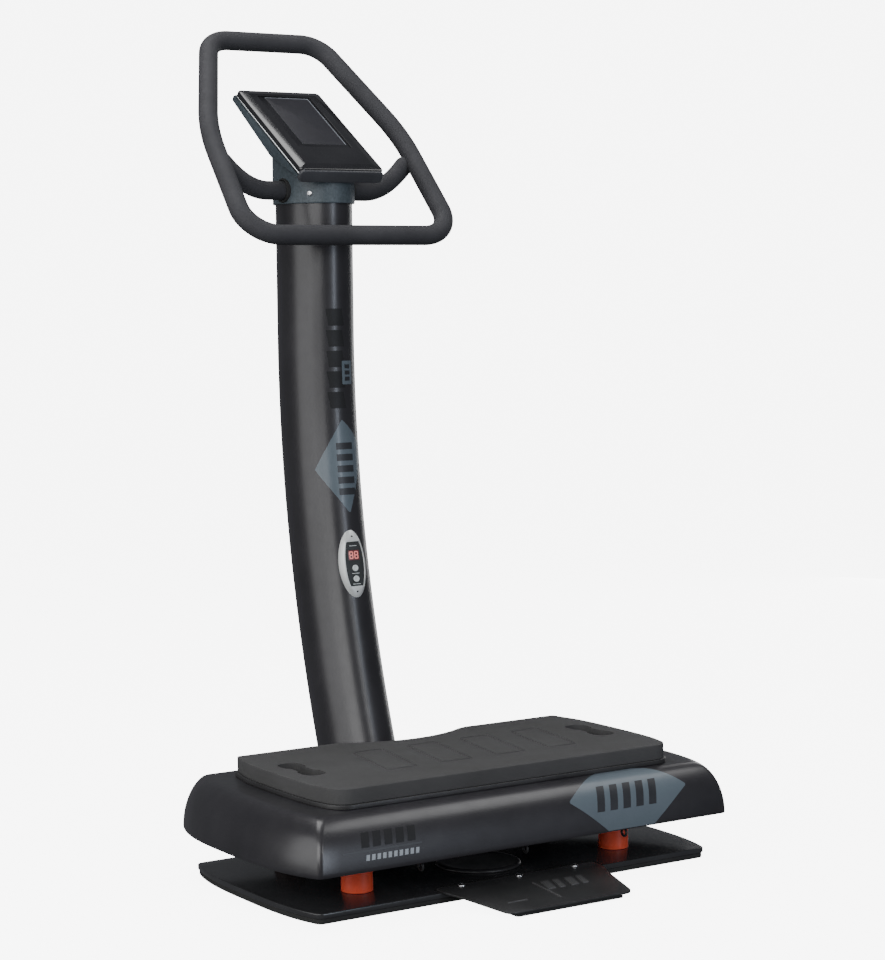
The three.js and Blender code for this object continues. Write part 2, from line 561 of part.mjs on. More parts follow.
let frame = block(-RAIL.x, RAIL.x, RAIL.y - RAIL.half, RAIL.y + RAIL.half, RAIL.bottom, RAIL.top)
  .add(block(-RAIL.x, RAIL.x, -RAIL.y - RAIL.half, -RAIL.y + RAIL.half, RAIL.bottom, RAIL.top));
for (const y of [-RAIL.y, RAIL.y]) {
  frame = frame.subtract(block(-RAIL.x - 1, RAIL.x + 1,
    y - RAIL.half + RAIL.wall, y + RAIL.half - RAIL.wall, RAIL.bottom + RAIL.wall, RAIL.slotTop));
}
for (const x of CROSSBAR.places) {
  frame = frame.add(block(x - CROSSBAR.half, x + CROSSBAR.half, -RAIL.y, RAIL.y, CROSSBAR.bottom, RAIL.top));
}
for (const sx of [-1, 1]) {
  for (const sy of [-1, 1]) {
    const at = [sx * BUFFER.x, sy * BUFFER.y];
    frame = frame.add(bar([...at, BUFFER.top + GAP], [...at, RAIL.bottom + 2], SOCKET_RADIUS, 20));
  }
}
frame = frame.add(block(-MOTOR_PLATE.half, MOTOR_PLATE.half, -MOTOR_PLATE.reach, MOTOR_PLATE.reach,
  MOTOR_PLATE.bottom, RAIL.top));
for (const [, x] of HOOK.places) {
  const [x0, x1] = [x - HOOK_ARM.half, x + HOOK_ARM.half];
  const low = HOOK_TAB.top + GAP;
  frame = frame.add(block(x0, x1, HOOK_TAB.front, HOOK_ARM.postBack, low, low + HOOK_ARM.thick))
    .add(block(x0, x1, HOOK_ARM.postBack - HOOK_ARM.postThick, HOOK_ARM.postBack, low + 1.7,
      HOOK_ARM.postTop));
}
add('under_frame', frame, satinBlack);

// ---- vibration motors: axes along Y, one each side of the middle ----
const motorSides = [['left', -1], ['right', 1]];
for (const [side, sx] of motorSides) {
  const x = sx * MOTOR.x;
  const axis = (y0, y1, radius, sides) => bar([x, y0, MOTOR.z], [x, y1, MOTOR.z], radius, sides);
  const foot = block(x - MOTOR_FOOT.half, x + MOTOR_FOOT.half, -MOTOR_FOOT.reach, MOTOR_FOOT.reach,
    MOTOR.z, MOTOR_FOOT.top);
  const housing = axis(-MOTOR.half, MOTOR.half, MOTOR.radius, 32).add(foot)
    .subtract(axis(-MOTOR.half - 1, MOTOR.half + 1, MOTOR.bore, 32));
  add(`motor_housing_${side}`, housing, motorGrey);
  for (const [endName, sy] of [['front', -1], ['rear', 1]]) {
    const near = sy * (MOTOR.half + GAP);
    const far = near + sy * MOTOR.capDepth;
    const cap = axis(near, far, MOTOR.radius, 32)
      .subtract(axis(near - sy, far - sy * MOTOR.capFloor, MOTOR.bore + 2, 32))
      .subtract(axis(far - sy * 6, far + sy, MOTOR.shaft + MOTOR.bearing + GAP, 20));
    add(`motor_cap_${endName}_${side}`, cap, motorGrey);
    const race = axis(far - sy * MOTOR.capFloor, far, MOTOR.shaft + MOTOR.bearing, 20)
      .subtract(axis(far - sy * 5, far + sy, MOTOR.shaft + 0.25, 20));
    add(`motor_bearing_${endName}_${side}`, race, steel);
  }
  const end = MOTOR.half + MOTOR.capDepth;
  let rotor = axis(-end, end, MOTOR.shaft, 20).add(axis(-MOTOR.rotorHalf, MOTOR.rotorHalf, MOTOR.rotor, 20));
  for (const sy of [-1, 1]) {
    const from = sy * (MOTOR.half + 2);
    const to = from + sy * MOTOR.weight;
    const weight = axis(from, to, MOTOR.bore - 2, 24)
      .subtract(block(x - 60, x + 60, -200, 200, MOTOR.z + 4, MOTOR.z + 80));
    rotor = rotor.add(weight);
  }
  add(`motor_rotor_${side}`, rotor, steel);
}

// ---- eye hooks for straps under the front edge ----
HOOK.places.forEach(([side, x]) => {
  const ring = solid(new THREE.TorusGeometry(HOOK.ring, HOOK.wire, 6, 14).rotateY(Math.PI / 2)
    .translate(x, HOOK.y, HOOK.z));
  const stem = bar([x, HOOK.y, HOOK.z + HOOK.ring - 0.5], [x, HOOK.y, HOOK_TAB.top], HOOK.stem, 12);
  const tab = block(x - HOOK_TAB.half, x + HOOK_TAB.half, HOOK_TAB.front, HOOK_TAB.back,
    HOOK_TAB.bottom, HOOK_TAB.top);
  add(`eye_hook_${side}`, ring.add(stem).add(tab), steel);
});

export default machine;
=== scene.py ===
from math import acos, asin, atan, atan2, cos, hypot, pi, radians, sin, sqrt, tan

import bmesh
import bpy
from mathutils import Matrix, Vector


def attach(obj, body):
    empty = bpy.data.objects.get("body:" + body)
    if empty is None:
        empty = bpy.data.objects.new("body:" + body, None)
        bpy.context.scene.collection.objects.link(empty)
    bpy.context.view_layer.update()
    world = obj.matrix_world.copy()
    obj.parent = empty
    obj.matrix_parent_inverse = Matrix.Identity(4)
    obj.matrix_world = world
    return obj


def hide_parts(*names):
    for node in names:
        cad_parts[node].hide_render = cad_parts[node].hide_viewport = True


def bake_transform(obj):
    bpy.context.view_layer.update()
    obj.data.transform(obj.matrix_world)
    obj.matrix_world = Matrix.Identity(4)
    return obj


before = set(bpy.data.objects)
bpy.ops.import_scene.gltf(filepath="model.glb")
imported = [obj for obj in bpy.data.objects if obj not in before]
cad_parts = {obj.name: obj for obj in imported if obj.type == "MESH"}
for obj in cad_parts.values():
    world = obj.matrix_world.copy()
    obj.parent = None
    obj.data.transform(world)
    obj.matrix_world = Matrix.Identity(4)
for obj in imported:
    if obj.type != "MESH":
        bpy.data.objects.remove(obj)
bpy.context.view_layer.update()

MM = 0.001


# ---- geometry helpers ----
def lerp(a, b, t):
    return a + (b - a) * t


def new_piece(name, points, faces, smooth_angle=35):
    """A mesh object from millimetre points."""
    mesh = bpy.data.meshes.new(name)
    mesh.from_pydata([Vector(p) * MM for p in points], [], faces)
    mesh.update()
    piece = bpy.data.objects.new(name, mesh)
    bpy.context.scene.collection.objects.link(piece)
    soften(piece, smooth_angle)
    return piece


def soften(piece, angle=35):
    piece.data.shade_smooth()
    piece.data.set_sharp_from_angle(angle=radians(angle))


def loft(name, rings, caps=True, smooth_angle=35):
    """Quads between closed rings of equal length; caps fill the first and last ring."""
    count = len(rings[0])
    points = [p for ring in rings for p in ring]
    faces = []
    for k in range(len(rings) - 1):
        for i in range(count):
            j = (i + 1) % count
            faces.append((k * count + i, k * count + j, (k + 1) * count + j, (k + 1) * count + i))
    if caps:
        faces.append(tuple(reversed(range(count))))
        top = (len(rings) - 1) * count
        faces.append(tuple(range(top, top + count)))
    return new_piece(name, points, faces, smooth_angle)


def ring_loft(name, rings, smooth_angle=35):
    """A closed body whose last ring joins its first, such as a tube wall or a torus."""
    return loft(name, rings + [rings[0]], caps=False, smooth_angle=smooth_angle)


def apply_modifiers(piece):
    bpy.context.view_layer.update()
    graph = bpy.context.evaluated_depsgraph_get()
    mesh = bpy.data.meshes.new_from_object(piece.evaluated_get(graph))
    piece.modifiers.clear()
    piece.data = mesh


def cut(piece, *cutters, smooth_angle=35):
    for cutter in cutters:
        modifier = piece.modifiers.new("cut", "BOOLEAN")
        modifier.operation = "DIFFERENCE"
        modifier.solver = "EXACT"
        modifier.object = cutter
        apply_modifiers(piece)
        bpy.data.objects.remove(cutter)
    soften(piece, smooth_angle)
    return piece


def edge_bevel(piece, width, segments=2, angle=40):
    modifier = piece.modifiers.new("bevel", "BEVEL")
    modifier.width = width * MM
    modifier.segments = segments
    modifier.limit_method = "ANGLE"
    modifier.angle_limit = radians(angle)
    apply_modifiers(piece)
    soften(piece, 40)
    return piece


def join(name, pieces):
    """One object from several, each keeping its own material."""
    points, faces, slots, materials = [], [], [], []
    for piece in pieces:
        start = len(points)
        mesh = piece.data
        points += [tuple(v.co / MM) for v in mesh.vertices]
        own = mesh.materials[0] if mesh.materials else None
        if own not in materials:
            materials.append(own)
        for polygon in mesh.polygons:
            faces.append(tuple(start + i for i in polygon.vertices))
            slots.append(materials.index(own))
        bpy.data.objects.remove(piece)
    joined = new_piece(name, points, faces)
    for material in materials:
        if material:
            joined.data.materials.append(material)
    for polygon, slot_index in zip(joined.data.polygons, slots):
        polygon.material_index = slot_index
    return joined


def rounded(corners, steps=6):
    """Outline through corners (x, y, radius), anticlockwise, with true arcs."""
    points = []
    count = len(corners)
    for i, (x, y, *rest) in enumerate(corners):
        radius = rest[0] if rest else 0
        corner = Vector((x, y))
        if not radius:
            points.append((x, y))
            continue
        back = (Vector(corners[i - 1][:2]) - corner).normalized()
        ahead = (Vector(corners[(i + 1) % count][:2]) - corner).normalized()
        half = acos(max(-1, min(1, back.dot(ahead)))) / 2
        centre = corner + (back + ahead).normalized() * radius / sin(half)
        start = corner + back * radius / tan(half) - centre
        end = corner + ahead * radius / tan(half) - centre
        first, last = atan2(start.y, start.x), atan2(end.y, end.x)
        sweep = last - first
        if sweep > pi:
            sweep -= 2 * pi
        if sweep < -pi:
            sweep += 2 * pi
        for k in range(steps + 1):
            angle = first + sweep * k / steps
            points.append((centre.x + radius * cos(angle), centre.y + radius * sin(angle)))
    return points


def rectangle(x0, x1, y0, y1, radius=0, steps=6):
    return rounded([(x0, y0, radius), (x1, y0, radius), (x1, y1, radius), (x0, y1, radius)], steps)


def circle(radius, count):
    return [(radius * cos(2 * pi * i / count), radius * sin(2 * pi * i / count)) for i in range(count)]


def inset(outline, distance):
    """The outline moved inwards by a small distance."""
    moved = []
    count = len(outline)
    for i, (x, y) in enumerate(outline):
        before = Vector(outline[i - 1])
        after = Vector(outline[(i + 1) % count])
        here = Vector((x, y))
        first = (here - before).normalized()
        second = (after - here).normalized()
        normal = Vector((-first.y - second.y, first.x + second.x)).normalized()
        bend = max(0.4, normal.dot(Vector((-first.y, first.x))))
        moved.append((x + normal.x * distance / bend, y + normal.y * distance / bend))
    return moved


def at(x, y, z=0):
    return Matrix.Translation((x, y, z))


def placed(points, matrix):
    return [tuple(matrix @ Vector(p)) for p in points]


def slab(name, outline, z0, z1, top=1.0, bottom=1.0, steps=3, matrix=None, smooth_angle=35):
    """A flat plate with rounded top and bottom edges."""
    rings = []
    for k in range(steps + 1):
        angle = pi / 2 * k / steps
        if bottom or k == steps:
            ring = inset(outline, bottom * (1 - sin(angle)))
            rings.append([(x, y, z0 + bottom * (1 - cos(angle))) for x, y in ring])
    for k in range(steps + 1):
        angle = pi / 2 * k / steps
        if top or k == 0:
            ring = inset(outline, top * (1 - cos(angle)))
            rings.append([(x, y, z1 - top * (1 - sin(angle))) for x, y in ring])
    if matrix:
        rings = [placed(ring, matrix) for ring in rings]
    return loft(name, rings, smooth_angle=smooth_angle)


def turned_rings(profile, count, matrix):
    rings = [[(x, y, h) for x, y in circle(r, count)] for r, h in profile]
    return [placed(ring, matrix) for ring in rings] if matrix else rings


def turned(name, profile, count=48, matrix=None):
    """A body turned about local Z from (radius, height) points that start and end on the axis."""
    return loft(name, turned_rings(profile, count, matrix))


def turned_ring(name, profile, count=48, matrix=None):
    """A body turned about local Z from a closed profile that stays clear of the axis."""
    return ring_loft(name, turned_rings(profile, count, matrix))


def tube(name, path, radius, sides=28, closed=False):
    """A round tube along millimetre points; radius is a number or one number for each point."""
    centres = [Vector(p) for p in path]
    count = len(centres)
    tangents = []
    for i in range(count):
        ahead = centres[(i + 1) % count] if closed or i < count - 1 else centres[i]
        behind = centres[i - 1] if closed or i > 0 else centres[i]
        tangents.append((ahead - behind).normalized())
    normal = tangents[0].orthogonal().normalized()
    normals = [normal]
    for i in range(1, count):
        normal = (normal - tangents[i] * normal.dot(tangents[i])).normalized()
        normals.append(normal)
    twist = 0.0
    if closed:
        end = (normal - tangents[0] * normal.dot(tangents[0])).normalized()
        twist = atan2(end.cross(normals[0]).dot(tangents[0]), end.dot(normals[0]))
    rings = []
    for i, centre in enumerate(centres):
        across = tangents[i].cross(normals[i])
        r = radius if isinstance(radius, (int, float)) else radius[i]
        turn = twist * i / count
        rings.append([tuple(centre + r * (normals[i] * cos(2 * pi * k / sides + turn)
                                          + across * sin(2 * pi * k / sides + turn)))
                      for k in range(sides)])
    if closed:
        return ring_loft(name, rings, 60)
    return loft(name, rings, smooth_angle=60)


def round_path(corners, bends, step=18.0, arc_steps=14):
    """Points round a closed path of straight runs joined by true arcs, with one radius for each corner."""
    count = len(corners)
    points = []
    for i, corner in enumerate(corners):
        here = Vector(corner)
        back = (Vector(corners[i - 1]) - here).normalized()
        ahead = (Vector(corners[(i + 1) % count]) - here).normalized()
        half = acos(back.dot(ahead)) / 2
        reach = bends[i] / tan(half)
        centre = here + (back + ahead).normalized() * bends[i] / sin(half)
        start, end = here + back * reach - centre, here + ahead * reach - centre
        sweep = start.angle(end)
        axis = start.cross(end).normalized()
        for k in range(arc_steps + 1):
            points.append(centre + Matrix.Rotation(sweep * k / arc_steps, 3, axis) @ start)
    filled = []
    total = len(points)
    for i, point in enumerate(points):
        following = points[(i + 1) % total]
        filled.append(point)
        extra = int((following - point).length // step)
        filled += [point.lerp(following, (k + 1) / (extra + 1)) for k in range(extra)]
    return filled


def frame_at(origin, tilt):
    return Matrix.Translation(Vector(origin)) @ Matrix.Rotation(tilt, 4, "X")


# ---- materials ----
def nodes_of(name):
    material = bpy.data.materials.new(name)
    material.use_nodes = True
    tree = material.node_tree
    shader = tree.nodes["Principled BSDF"]
    return material, tree, shader


def set_inputs(node, values):
    for name, value in values.items():
        node.inputs[name].default_value = value


def noise(tree, scale, detail=4.0, roughness=0.6):
    place = tree.nodes.new("ShaderNodeTexCoord")
    node = tree.nodes.new("ShaderNodeTexNoise")
    set_inputs(node, {"Scale": scale, "Detail": detail, "Roughness": roughness})
    tree.links.new(place.outputs["Object"], node.inputs["Vector"])
    return node.outputs["Fac"]


def cells(tree, scale):
    place = tree.nodes.new("ShaderNodeTexCoord")
    node = tree.nodes.new("ShaderNodeTexVoronoi")
    node.inputs["Scale"].default_value = scale
    tree.links.new(place.outputs["Object"], node.inputs["Vector"])
    return node.outputs["Distance"]


def spread(tree, value, low, high, from_low=0.3, from_high=0.7):
    node = tree.nodes.new("ShaderNodeMapRange")
    set_inputs(node, {"From Min": from_low, "From Max": from_high, "To Min": low, "To Max": high})
    tree.links.new(value, node.inputs["Value"])
    return node.outputs["Result"]


def blend_colours(tree, factor, first, second):
    node = tree.nodes.new("ShaderNodeMix")
    node.data_type = "RGBA"
    set_inputs(node, {"A": (*first, 1), "B": (*second, 1)})
    tree.links.new(factor, node.inputs["Factor"])
    return node.outputs["Result"]


def bump(tree, shader, height, strength, distance):
    node = tree.nodes.new("ShaderNodeBump")
    set_inputs(node, {"Strength": strength, "Distance": distance * MM})
    tree.links.new(height, node.inputs["Height"])
    tree.links.new(node.outputs["Normal"], shader.inputs["Normal"])


def surface(name, colour, rough, *, worn=None, metal=0.0, cloud=9, grain=400, grain_depth=0.05,
            grain_kind="noise", coat=0.0, coat_rough=0.05, specular=0.5, rough_spread=0.06):
    """A finish with cloudy colour, uneven gloss and fine grain."""
    material, tree, shader = nodes_of(name)
    worn = worn or tuple(min(1, c * 1.35 + 0.004) for c in colour)
    cloudy = noise(tree, cloud)
    tint = blend_colours(tree, spread(tree, cloudy, 0, 1), colour, worn)
    tree.links.new(tint, shader.inputs["Base Color"])
    gloss = spread(tree, noise(tree, cloud * 6), rough - rough_spread / 2, rough + rough_spread / 2)
    tree.links.new(gloss, shader.inputs["Roughness"])
    set_inputs(shader, {"Metallic": metal, "Specular IOR Level": specular, "Coat Weight": coat,
                        "Coat Roughness": coat_rough})
    texture = noise(tree, grain, 3) if grain_kind == "noise" else cells(tree, grain)
    bump(tree, shader, texture, 0.6, grain_depth)
    return material


def glow(name, colour, strength):
    material, tree, shader = nodes_of(name)
    speckle = spread(tree, noise(tree, 900), 0.85, 1.0)
    tint = blend_colours(tree, speckle, tuple(c * 0.7 for c in colour), colour)
    tree.links.new(tint, shader.inputs["Base Color"])
    set_inputs(shader, {"Emission Color": (*colour, 1), "Emission Strength": strength, "Roughness": 0.3})
    return material


GLOSS_BLACK = surface("gloss_black", (0.026, 0.026, 0.028), 0.24, grain=30, grain_depth=0.004,
                      coat=0.4, coat_rough=0.14, rough_spread=0.05)
COVER_BLACK = surface("cover_black", (0.018, 0.017, 0.020), 0.34, grain=240, grain_depth=0.004,
                      coat=0.5, coat_rough=0.24)
COLUMN_BLACK = surface("column_black", (0.017, 0.016, 0.019), 0.36, grain=240, grain_depth=0.003,
                       coat=0.4, coat_rough=0.26)
SATIN_BLACK = surface("satin_black", (0.026, 0.026, 0.027), 0.38, grain=420, grain_depth=0.02)
CONSOLE_BLACK = surface("console_black", (0.012, 0.012, 0.014), 0.16, grain=30, grain_depth=0.002,
                        coat=0.6, coat_rough=0.08)
RUBBER = surface("rubber_black", (0.016, 0.016, 0.016), 0.8, grain=700, grain_depth=0.15)
MAT_FOAM = surface("mat_foam", (0.062, 0.062, 0.062), 0.85, worn=(0.078, 0.078, 0.079), cloud=5,
                   grain=650, grain_depth=0.35, grain_kind="cells", specular=0.3)
GRIP_FOAM = surface("grip_foam", (0.038, 0.038, 0.043), 0.72, worn=(0.052, 0.052, 0.058), cloud=14,
                    grain=900, grain_depth=0.12, grain_kind="cells", specular=0.4)
BUFFER_RED = surface("buffer_red", (0.95, 0.10, 0.045), 0.4, worn=(1.0, 0.13, 0.06), cloud=20,
                     grain=300, grain_depth=0.04)
# Painted shade: the same red rubber as the front buffers, darkened to stand in for the shadow under the
# platform
BUFFER_RED_PAINTED_SHADE = surface("buffer_dark", (0.035, 0.011, 0.010), 0.55, worn=(0.05, 0.015, 0.013), cloud=20,
                      grain=300, grain_depth=0.04)
SHELL_GREY = surface("shell_grey", (0.050, 0.068, 0.080), 0.45, worn=(0.085, 0.110, 0.128), cloud=160,
                     grain=420, grain_depth=0.45, grain_kind="cells")
SILVER = surface("trim_silver", (0.62, 0.65, 0.66), 0.24, worn=(0.74, 0.76, 0.77), metal=0.85,
                 grain=600, grain_depth=0.01)
PANEL_SILVER = surface("panel_silver", (0.72, 0.75, 0.74), 0.36, worn=(0.80, 0.82, 0.81), metal=0.3,
                       grain=900, grain_depth=0.02)
BOLT = surface("bolt_silver", (0.55, 0.55, 0.56), 0.28, worn=(0.7, 0.7, 0.71), metal=1.0, cloud=60)
SCREEN = surface("screen_glass", (0.009, 0.009, 0.011), 0.2, grain=30, grain_depth=0.001,
                 coat=0.5, coat_rough=0.06)
DISPLAY = surface("display_film", (0.021, 0.021, 0.026), 0.42, grain=300, grain_depth=0.002, specular=0.3)
PANEL_DARK = surface("panel_dark", (0.020, 0.023, 0.024), 0.5, grain=900, grain_depth=0.04)
WHITE = surface("button_white", (0.62, 0.66, 0.66), 0.4, grain=400, grain_depth=0.02)
SWITCH_RED = surface("switch_red", (0.45, 0.03, 0.02), 0.3, grain=200, grain_depth=0.02)
DECAL = surface("decal_blue_grey", (0.105, 0.135, 0.160), 0.38, worn=(0.125, 0.158, 0.185), cloud=12,
                grain=300, grain_depth=0.01, coat=0.3, coat_rough=0.2)
DECAL_INK = surface("decal_ink", (0.020, 0.022, 0.026), 0.4, grain=300, grain_depth=0.01)
DECAL_PALE = surface("decal_pale", (0.30, 0.33, 0.36), 0.4, grain=300, grain_depth=0.01)
DECAL_SHADE = surface("decal_shade", (0.011, 0.011, 0.012), 0.5, grain=300, grain_depth=0.01, specular=0.3)
STEP_MARK = surface("step_mark", (0.060, 0.060, 0.062), 0.4, grain=300, grain_depth=0.01)
LIP_GREY = surface("console_lip", (0.050, 0.052, 0.058), 0.3, grain=200, grain_depth=0.002)
DECAL_FAINT = surface("decal_faint", (0.040, 0.042, 0.047), 0.36, grain=300, grain_depth=0.01)
MOTOR = surface("motor_grey", (0.30, 0.32, 0.33), 0.5, metal=0.7, grain=350, grain_depth=0.2)
STEEL = surface("machined_steel", (0.42, 0.43, 0.44), 0.3, metal=1.0, cloud=40)
BOARD = surface("board_green", (0.03, 0.12, 0.06), 0.5, grain=200, grain_depth=0.1)
LED = glow("led_red", (0.75, 0.22, 0.20), 0.8)
LED_WINDOW = surface("led_window", (0.16, 0.055, 0.055), 0.25, grain=200, grain_depth=0.003)
# Painted highlight: a pale colour for a glint along the display's edges
GLINT = surface("screen_painted_glint", (0.25, 0.27, 0.30), 0.3, grain=200, grain_depth=0.01)


def finish_piece(piece, material, body, slot, *nodes):
    if material:
        piece.data.materials.clear()
        piece.data.materials.append(material)
    if body:
        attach(piece, body)
    if nodes:
        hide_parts(*nodes)
    return piece


# ---- shared dimensions, mm ----
COLUMN_A, COLUMN_B, COLUMN_Y = 67.5, 86.0, 455.5
BEND_TOP, BEND_RADIUS = 940.0, 2300.0


def column_y(z):
    return COLUMN_Y - max(0.0, BEND_TOP - z) ** 2 / (2 * BEND_RADIUS)


def column_tangent(z):
    return Vector((0, max(0.0, BEND_TOP - z) / BEND_RADIUS, 1)).normalized()


def bowed(front, back, half, bow, radius, rear_radius, steps=28, arc=6):
    """Plan outline with straight front and back and softly bowed ends."""
    middle, reach = (front + back) / 2, (back - front) / 2
    right = []
    for i in range(1, steps):
        t = -1 + 2 * i / steps
        if abs(t) < 1 - radius * 1.3 / reach:
            right.append((half + bow * (1 - abs(t) ** 3.2), middle + t * reach))
    left = [(-x, y) for x, y in reversed(right)]
    corners = [(-half, front, radius), (half, front, radius), *right,
               (half, back, rear_radius), (-half, back, rear_radius), *left]
    return rounded(corners, arc)


# ---- base ----
BASE_TOP, PLATE_BOTTOM, RUBBER_TOP = 18.5, 9.5, 9.2
BASE_FRONT, BASE_BACK, BASE_HALF, BASE_BOW, BASE_CORNER = -216, 211, 398, 23, 14
TAIL_HALF, TAIL_BACK, TAIL_CORNER = 150, 385, 25


def base_outline(margin):
    corner = BASE_CORNER - margin / 2
    return bowed(BASE_FRONT + margin, BASE_BACK - margin, BASE_HALF - margin, BASE_BOW, corner, corner)


def base_slab(name, margin, z0, z1, top, bottom, material, slot, node):
    """A sheet with the base's plan: bowed ends, and a tail under the column."""
    half, tail_back = TAIL_HALF - margin, TAIL_BACK - margin
    main = base_outline(margin)
    back = BASE_BACK - margin
    split = next(i for i, (x, y) in enumerate(main) if x < 0 and y > back - 0.01)
    tail = rounded([(half, back, 0), (half, tail_back, TAIL_CORNER), (-half, tail_back, TAIL_CORNER),
                    (-half, back, 0)], 8)
    piece = slab(name, main[:split] + tail + main[split:], z0, z1, top, bottom)
    return finish_piece(piece, material, "base", slot, node)


base_slab("base_plate_fine", 0, PLATE_BOTTOM, BASE_TOP, 1.6, 1.0, GLOSS_BLACK, "gloss_black", "base_plate")
base_slab("base_rubber_fine", 2, 0, RUBBER_TOP, 0.8, 1.2, RUBBER, "rubber_black", "base_rubber")

# Step plate: flat on the base plate, then sloping down to the floor in front
STEP_TIP, STEP_BEND, STEP_REAR = -361.0, -221.0, -196.0
STEP_FALL = 0.0875     # drop for each millimetre forwards
STEP_LIFT = 3.5        # height of the flat part over the base plate
STEP_THICK = 3.2
FOOT_TOP = 8.0         # of the rubber foot before it follows the slope


def step_top(y):
    flat = BASE_TOP + STEP_LIFT
    if y > STEP_BEND:
        return flat
    return flat - (STEP_BEND - y) * STEP_FALL


step_outline = rounded([
    (-125, STEP_TIP, 18), (125, STEP_TIP, 18), (149, -264, 20), (162, -228, 12), (162, STEP_REAR, 4),
    (-162, STEP_REAR, 4), (-162, -228, 12), (-149, -264, 20)], 7)


def step_plate():
    """Rows across the plate follow the outline, so that the plate can bend."""
    ys = sorted({round(y, 3) for x, y in step_outline if x > 0} | {STEP_BEND, -226, -232, -300, -330})
    right = sorted([(y, x) for x, y in step_outline if x > 0])

    def half_at(y):
        best = 0
        for (y0, x0), (y1, x1) in zip(right, right[1:]):
            if y0 <= y <= y1:
                best = max(best, lerp(x0, x1, 0 if y1 == y0 else (y - y0) / (y1 - y0)))
        return best
    points, faces = [], []
    across = [-1, -0.5, 0, 0.5, 1]
    for y in ys:
        half = half_at(y)
        points += [(s * half, y, step_top(y)) for s in across]
        points += [(s * half, y, step_top(y) - STEP_THICK) for s in across]
    n = len(across)
    for k in range(len(ys) - 1):
        a, b = k * 2 * n, (k + 1) * 2 * n
        for i in range(n - 1):
            faces.append((a + i, a + i + 1, b + i + 1, b + i))
            faces.append((a + n + i, b + n + i, b + n + i + 1, a + n + i + 1))
        faces.append((a, b, b + n, a + n))
        faces.append((a + n - 1, a + 2 * n - 1, b + 2 * n - 1, b + n - 1))
    last = (len(ys) - 1) * 2 * n
    for i in range(n - 1):
        faces.append((i, n + i, n + i + 1, i + 1))
        faces.append((last + i, last + i + 1, last + n + i + 1, last + n + i))
    piece = new_piece("step_plate_fine", points, faces)
    return edge_bevel(piece, 0.9, 2, 50)


finish_piece(step_plate(), SATIN_BLACK, "base", "satin_black", "step_plate")


def raised_bar(name, corners, height_at, height):
    """A raised parallelogram following a surface: corners (x, y), height_at(y) gives its base."""
    base = [(x, y, height_at(y) - 0.3) for x, y in corners]
    crown = [(x, y, height_at(y) + height) for x, y in inset(corners, 0.5)]
    return loft(name, [base, crown])


def step_marks():
    """Generic slanted bars and two thin rules raised on the step plate."""
    bars = []
    for i, x in enumerate((2, 26, 50, 74)):
        wide = 12 if i % 2 else 16
        outline = [(x, -290), (x + wide, -290), (x + wide + 9, -254), (x + 9, -254)]
        bars.append(raised_bar(f"mark_{i}", outline, step_top, 1.4))
    for name, sides in (("mark_rule", (-100, -60, -318, -315)), ("mark_rule_2", (-4, 0, -330, -250))):
        bars.append(raised_bar(name, rectangle(*sides), step_top, 1.2))
    return join("step_marks", bars)


finish_piece(step_marks(), STEP_MARK, "base", "satin_black")
step_foot = slab("step_rubber_fine", rectangle(-109, 109, -358, -300, 6), 0, FOOT_TOP, 0.8, 1.0)
for vertex in step_foot.data.vertices:
    if vertex.co.z > 4 * MM:
        vertex.co.z += (step_top(vertex.co.y / MM) - STEP_LIFT - FOOT_TOP) * MM
finish_piece(step_foot, RUBBER, "base", "rubber_black", "step_rubber")


def bolt(name, x, y, z, radius, height, node):
    """A button-head bolt with a hexagon socket."""
    profile = [(0.0, 0.0), (radius, 0.0), (radius, height * 0.25)]
    for k in range(1, 7):
        angle = pi / 2 * k / 6
        profile.append((radius * (0.45 + 0.55 * cos(angle)), height * (0.25 + 0.75 * sin(angle))))
    profile.append((0.0, height))
    head = turned(name, [(max(r, 0.02), h) for r, h in profile], 28, at(x, y, z))
    hexagon = circle(radius * 0.36, 6)
    socket = slab("socket", hexagon, z + height * 0.45, z + height + 2, 0, 0, matrix=at(x, y))
    cut(head, socket)
    return finish_piece(head, BOLT, "base", "bolt_silver", node)


for side, x in (("left", -117), ("centre", 0), ("right", 117)):
    bolt(f"step_bolt_{side}_fine", x, -207, 22.3, 6.5, 3.8, f"step_bolt_{side}")
for place, x, y in (("front_left", -92, 190), ("front_right", 92, 190),
                    ("rear_left", -92, 356), ("rear_right", 92, 356)):
    bolt(f"foot_bolt_{place}_fine", x, y, 29.1, 9, 7.5, f"foot_bolt_{place}")

DISC_PROFILE = [(0.02, 0), (73, 0), (74.6, 0.8), (75, 2.2), (74.6, 3.8), (73, 5.2), (70, 6.1), (66, 6.2),
                (62, 5.6), (60, 5.4), (20, 5.4), (0.02, 5.4)]
disc = turned("base_disc_fine", DISC_PROFILE, 96, at(0, -82, BASE_TOP + 0.3))
finish_piece(disc, SATIN_BLACK, "base", "gloss_black", "base_disc")

# Buffers: turned rubber, joined to the base at the foot and to the platform at the top. The rear pair use a
# darkened copy of the red rubber, which is painted shade for the shadow under the platform
BUFFER_X, BUFFER_Y, BUFFER_RADIUS = 268, 118, 27
BUFFER_FOOT, BUFFER_CROWN = 18.8, 97
# Rear buffers get the painted-shade copy of the red rubber
for end_name, y, rubber, slot_name in (("front", -BUFFER_Y, BUFFER_RED, "buffer_red"),
                                       ("rear", BUFFER_Y, BUFFER_RED_PAINTED_SHADE, "buffer_dark")):
    for side, x in (("left", -BUFFER_X), ("right", BUFFER_X)):
        profile = [(0.02, BUFFER_FOOT), (25.6, BUFFER_FOOT), (26.6, 19.3), (BUFFER_RADIUS, 20.6)]
        profile += [(BUFFER_RADIUS - 0.5 * sin(pi * k / 8), 20.6 + 75 * k / 8) for k in range(1, 8)]
        profile += [(BUFFER_RADIUS, 95.4), (26.6, 96.6), (25.6, BUFFER_CROWN), (0.02, BUFFER_CROWN)]
        buffer = turned(f"buffer_{end_name}_{side}_fine", profile, 64, at(x, y))
        finish_piece(buffer, rubber, None, slot_name, f"buffer_{end_name}_{side}")
        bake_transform(buffer)

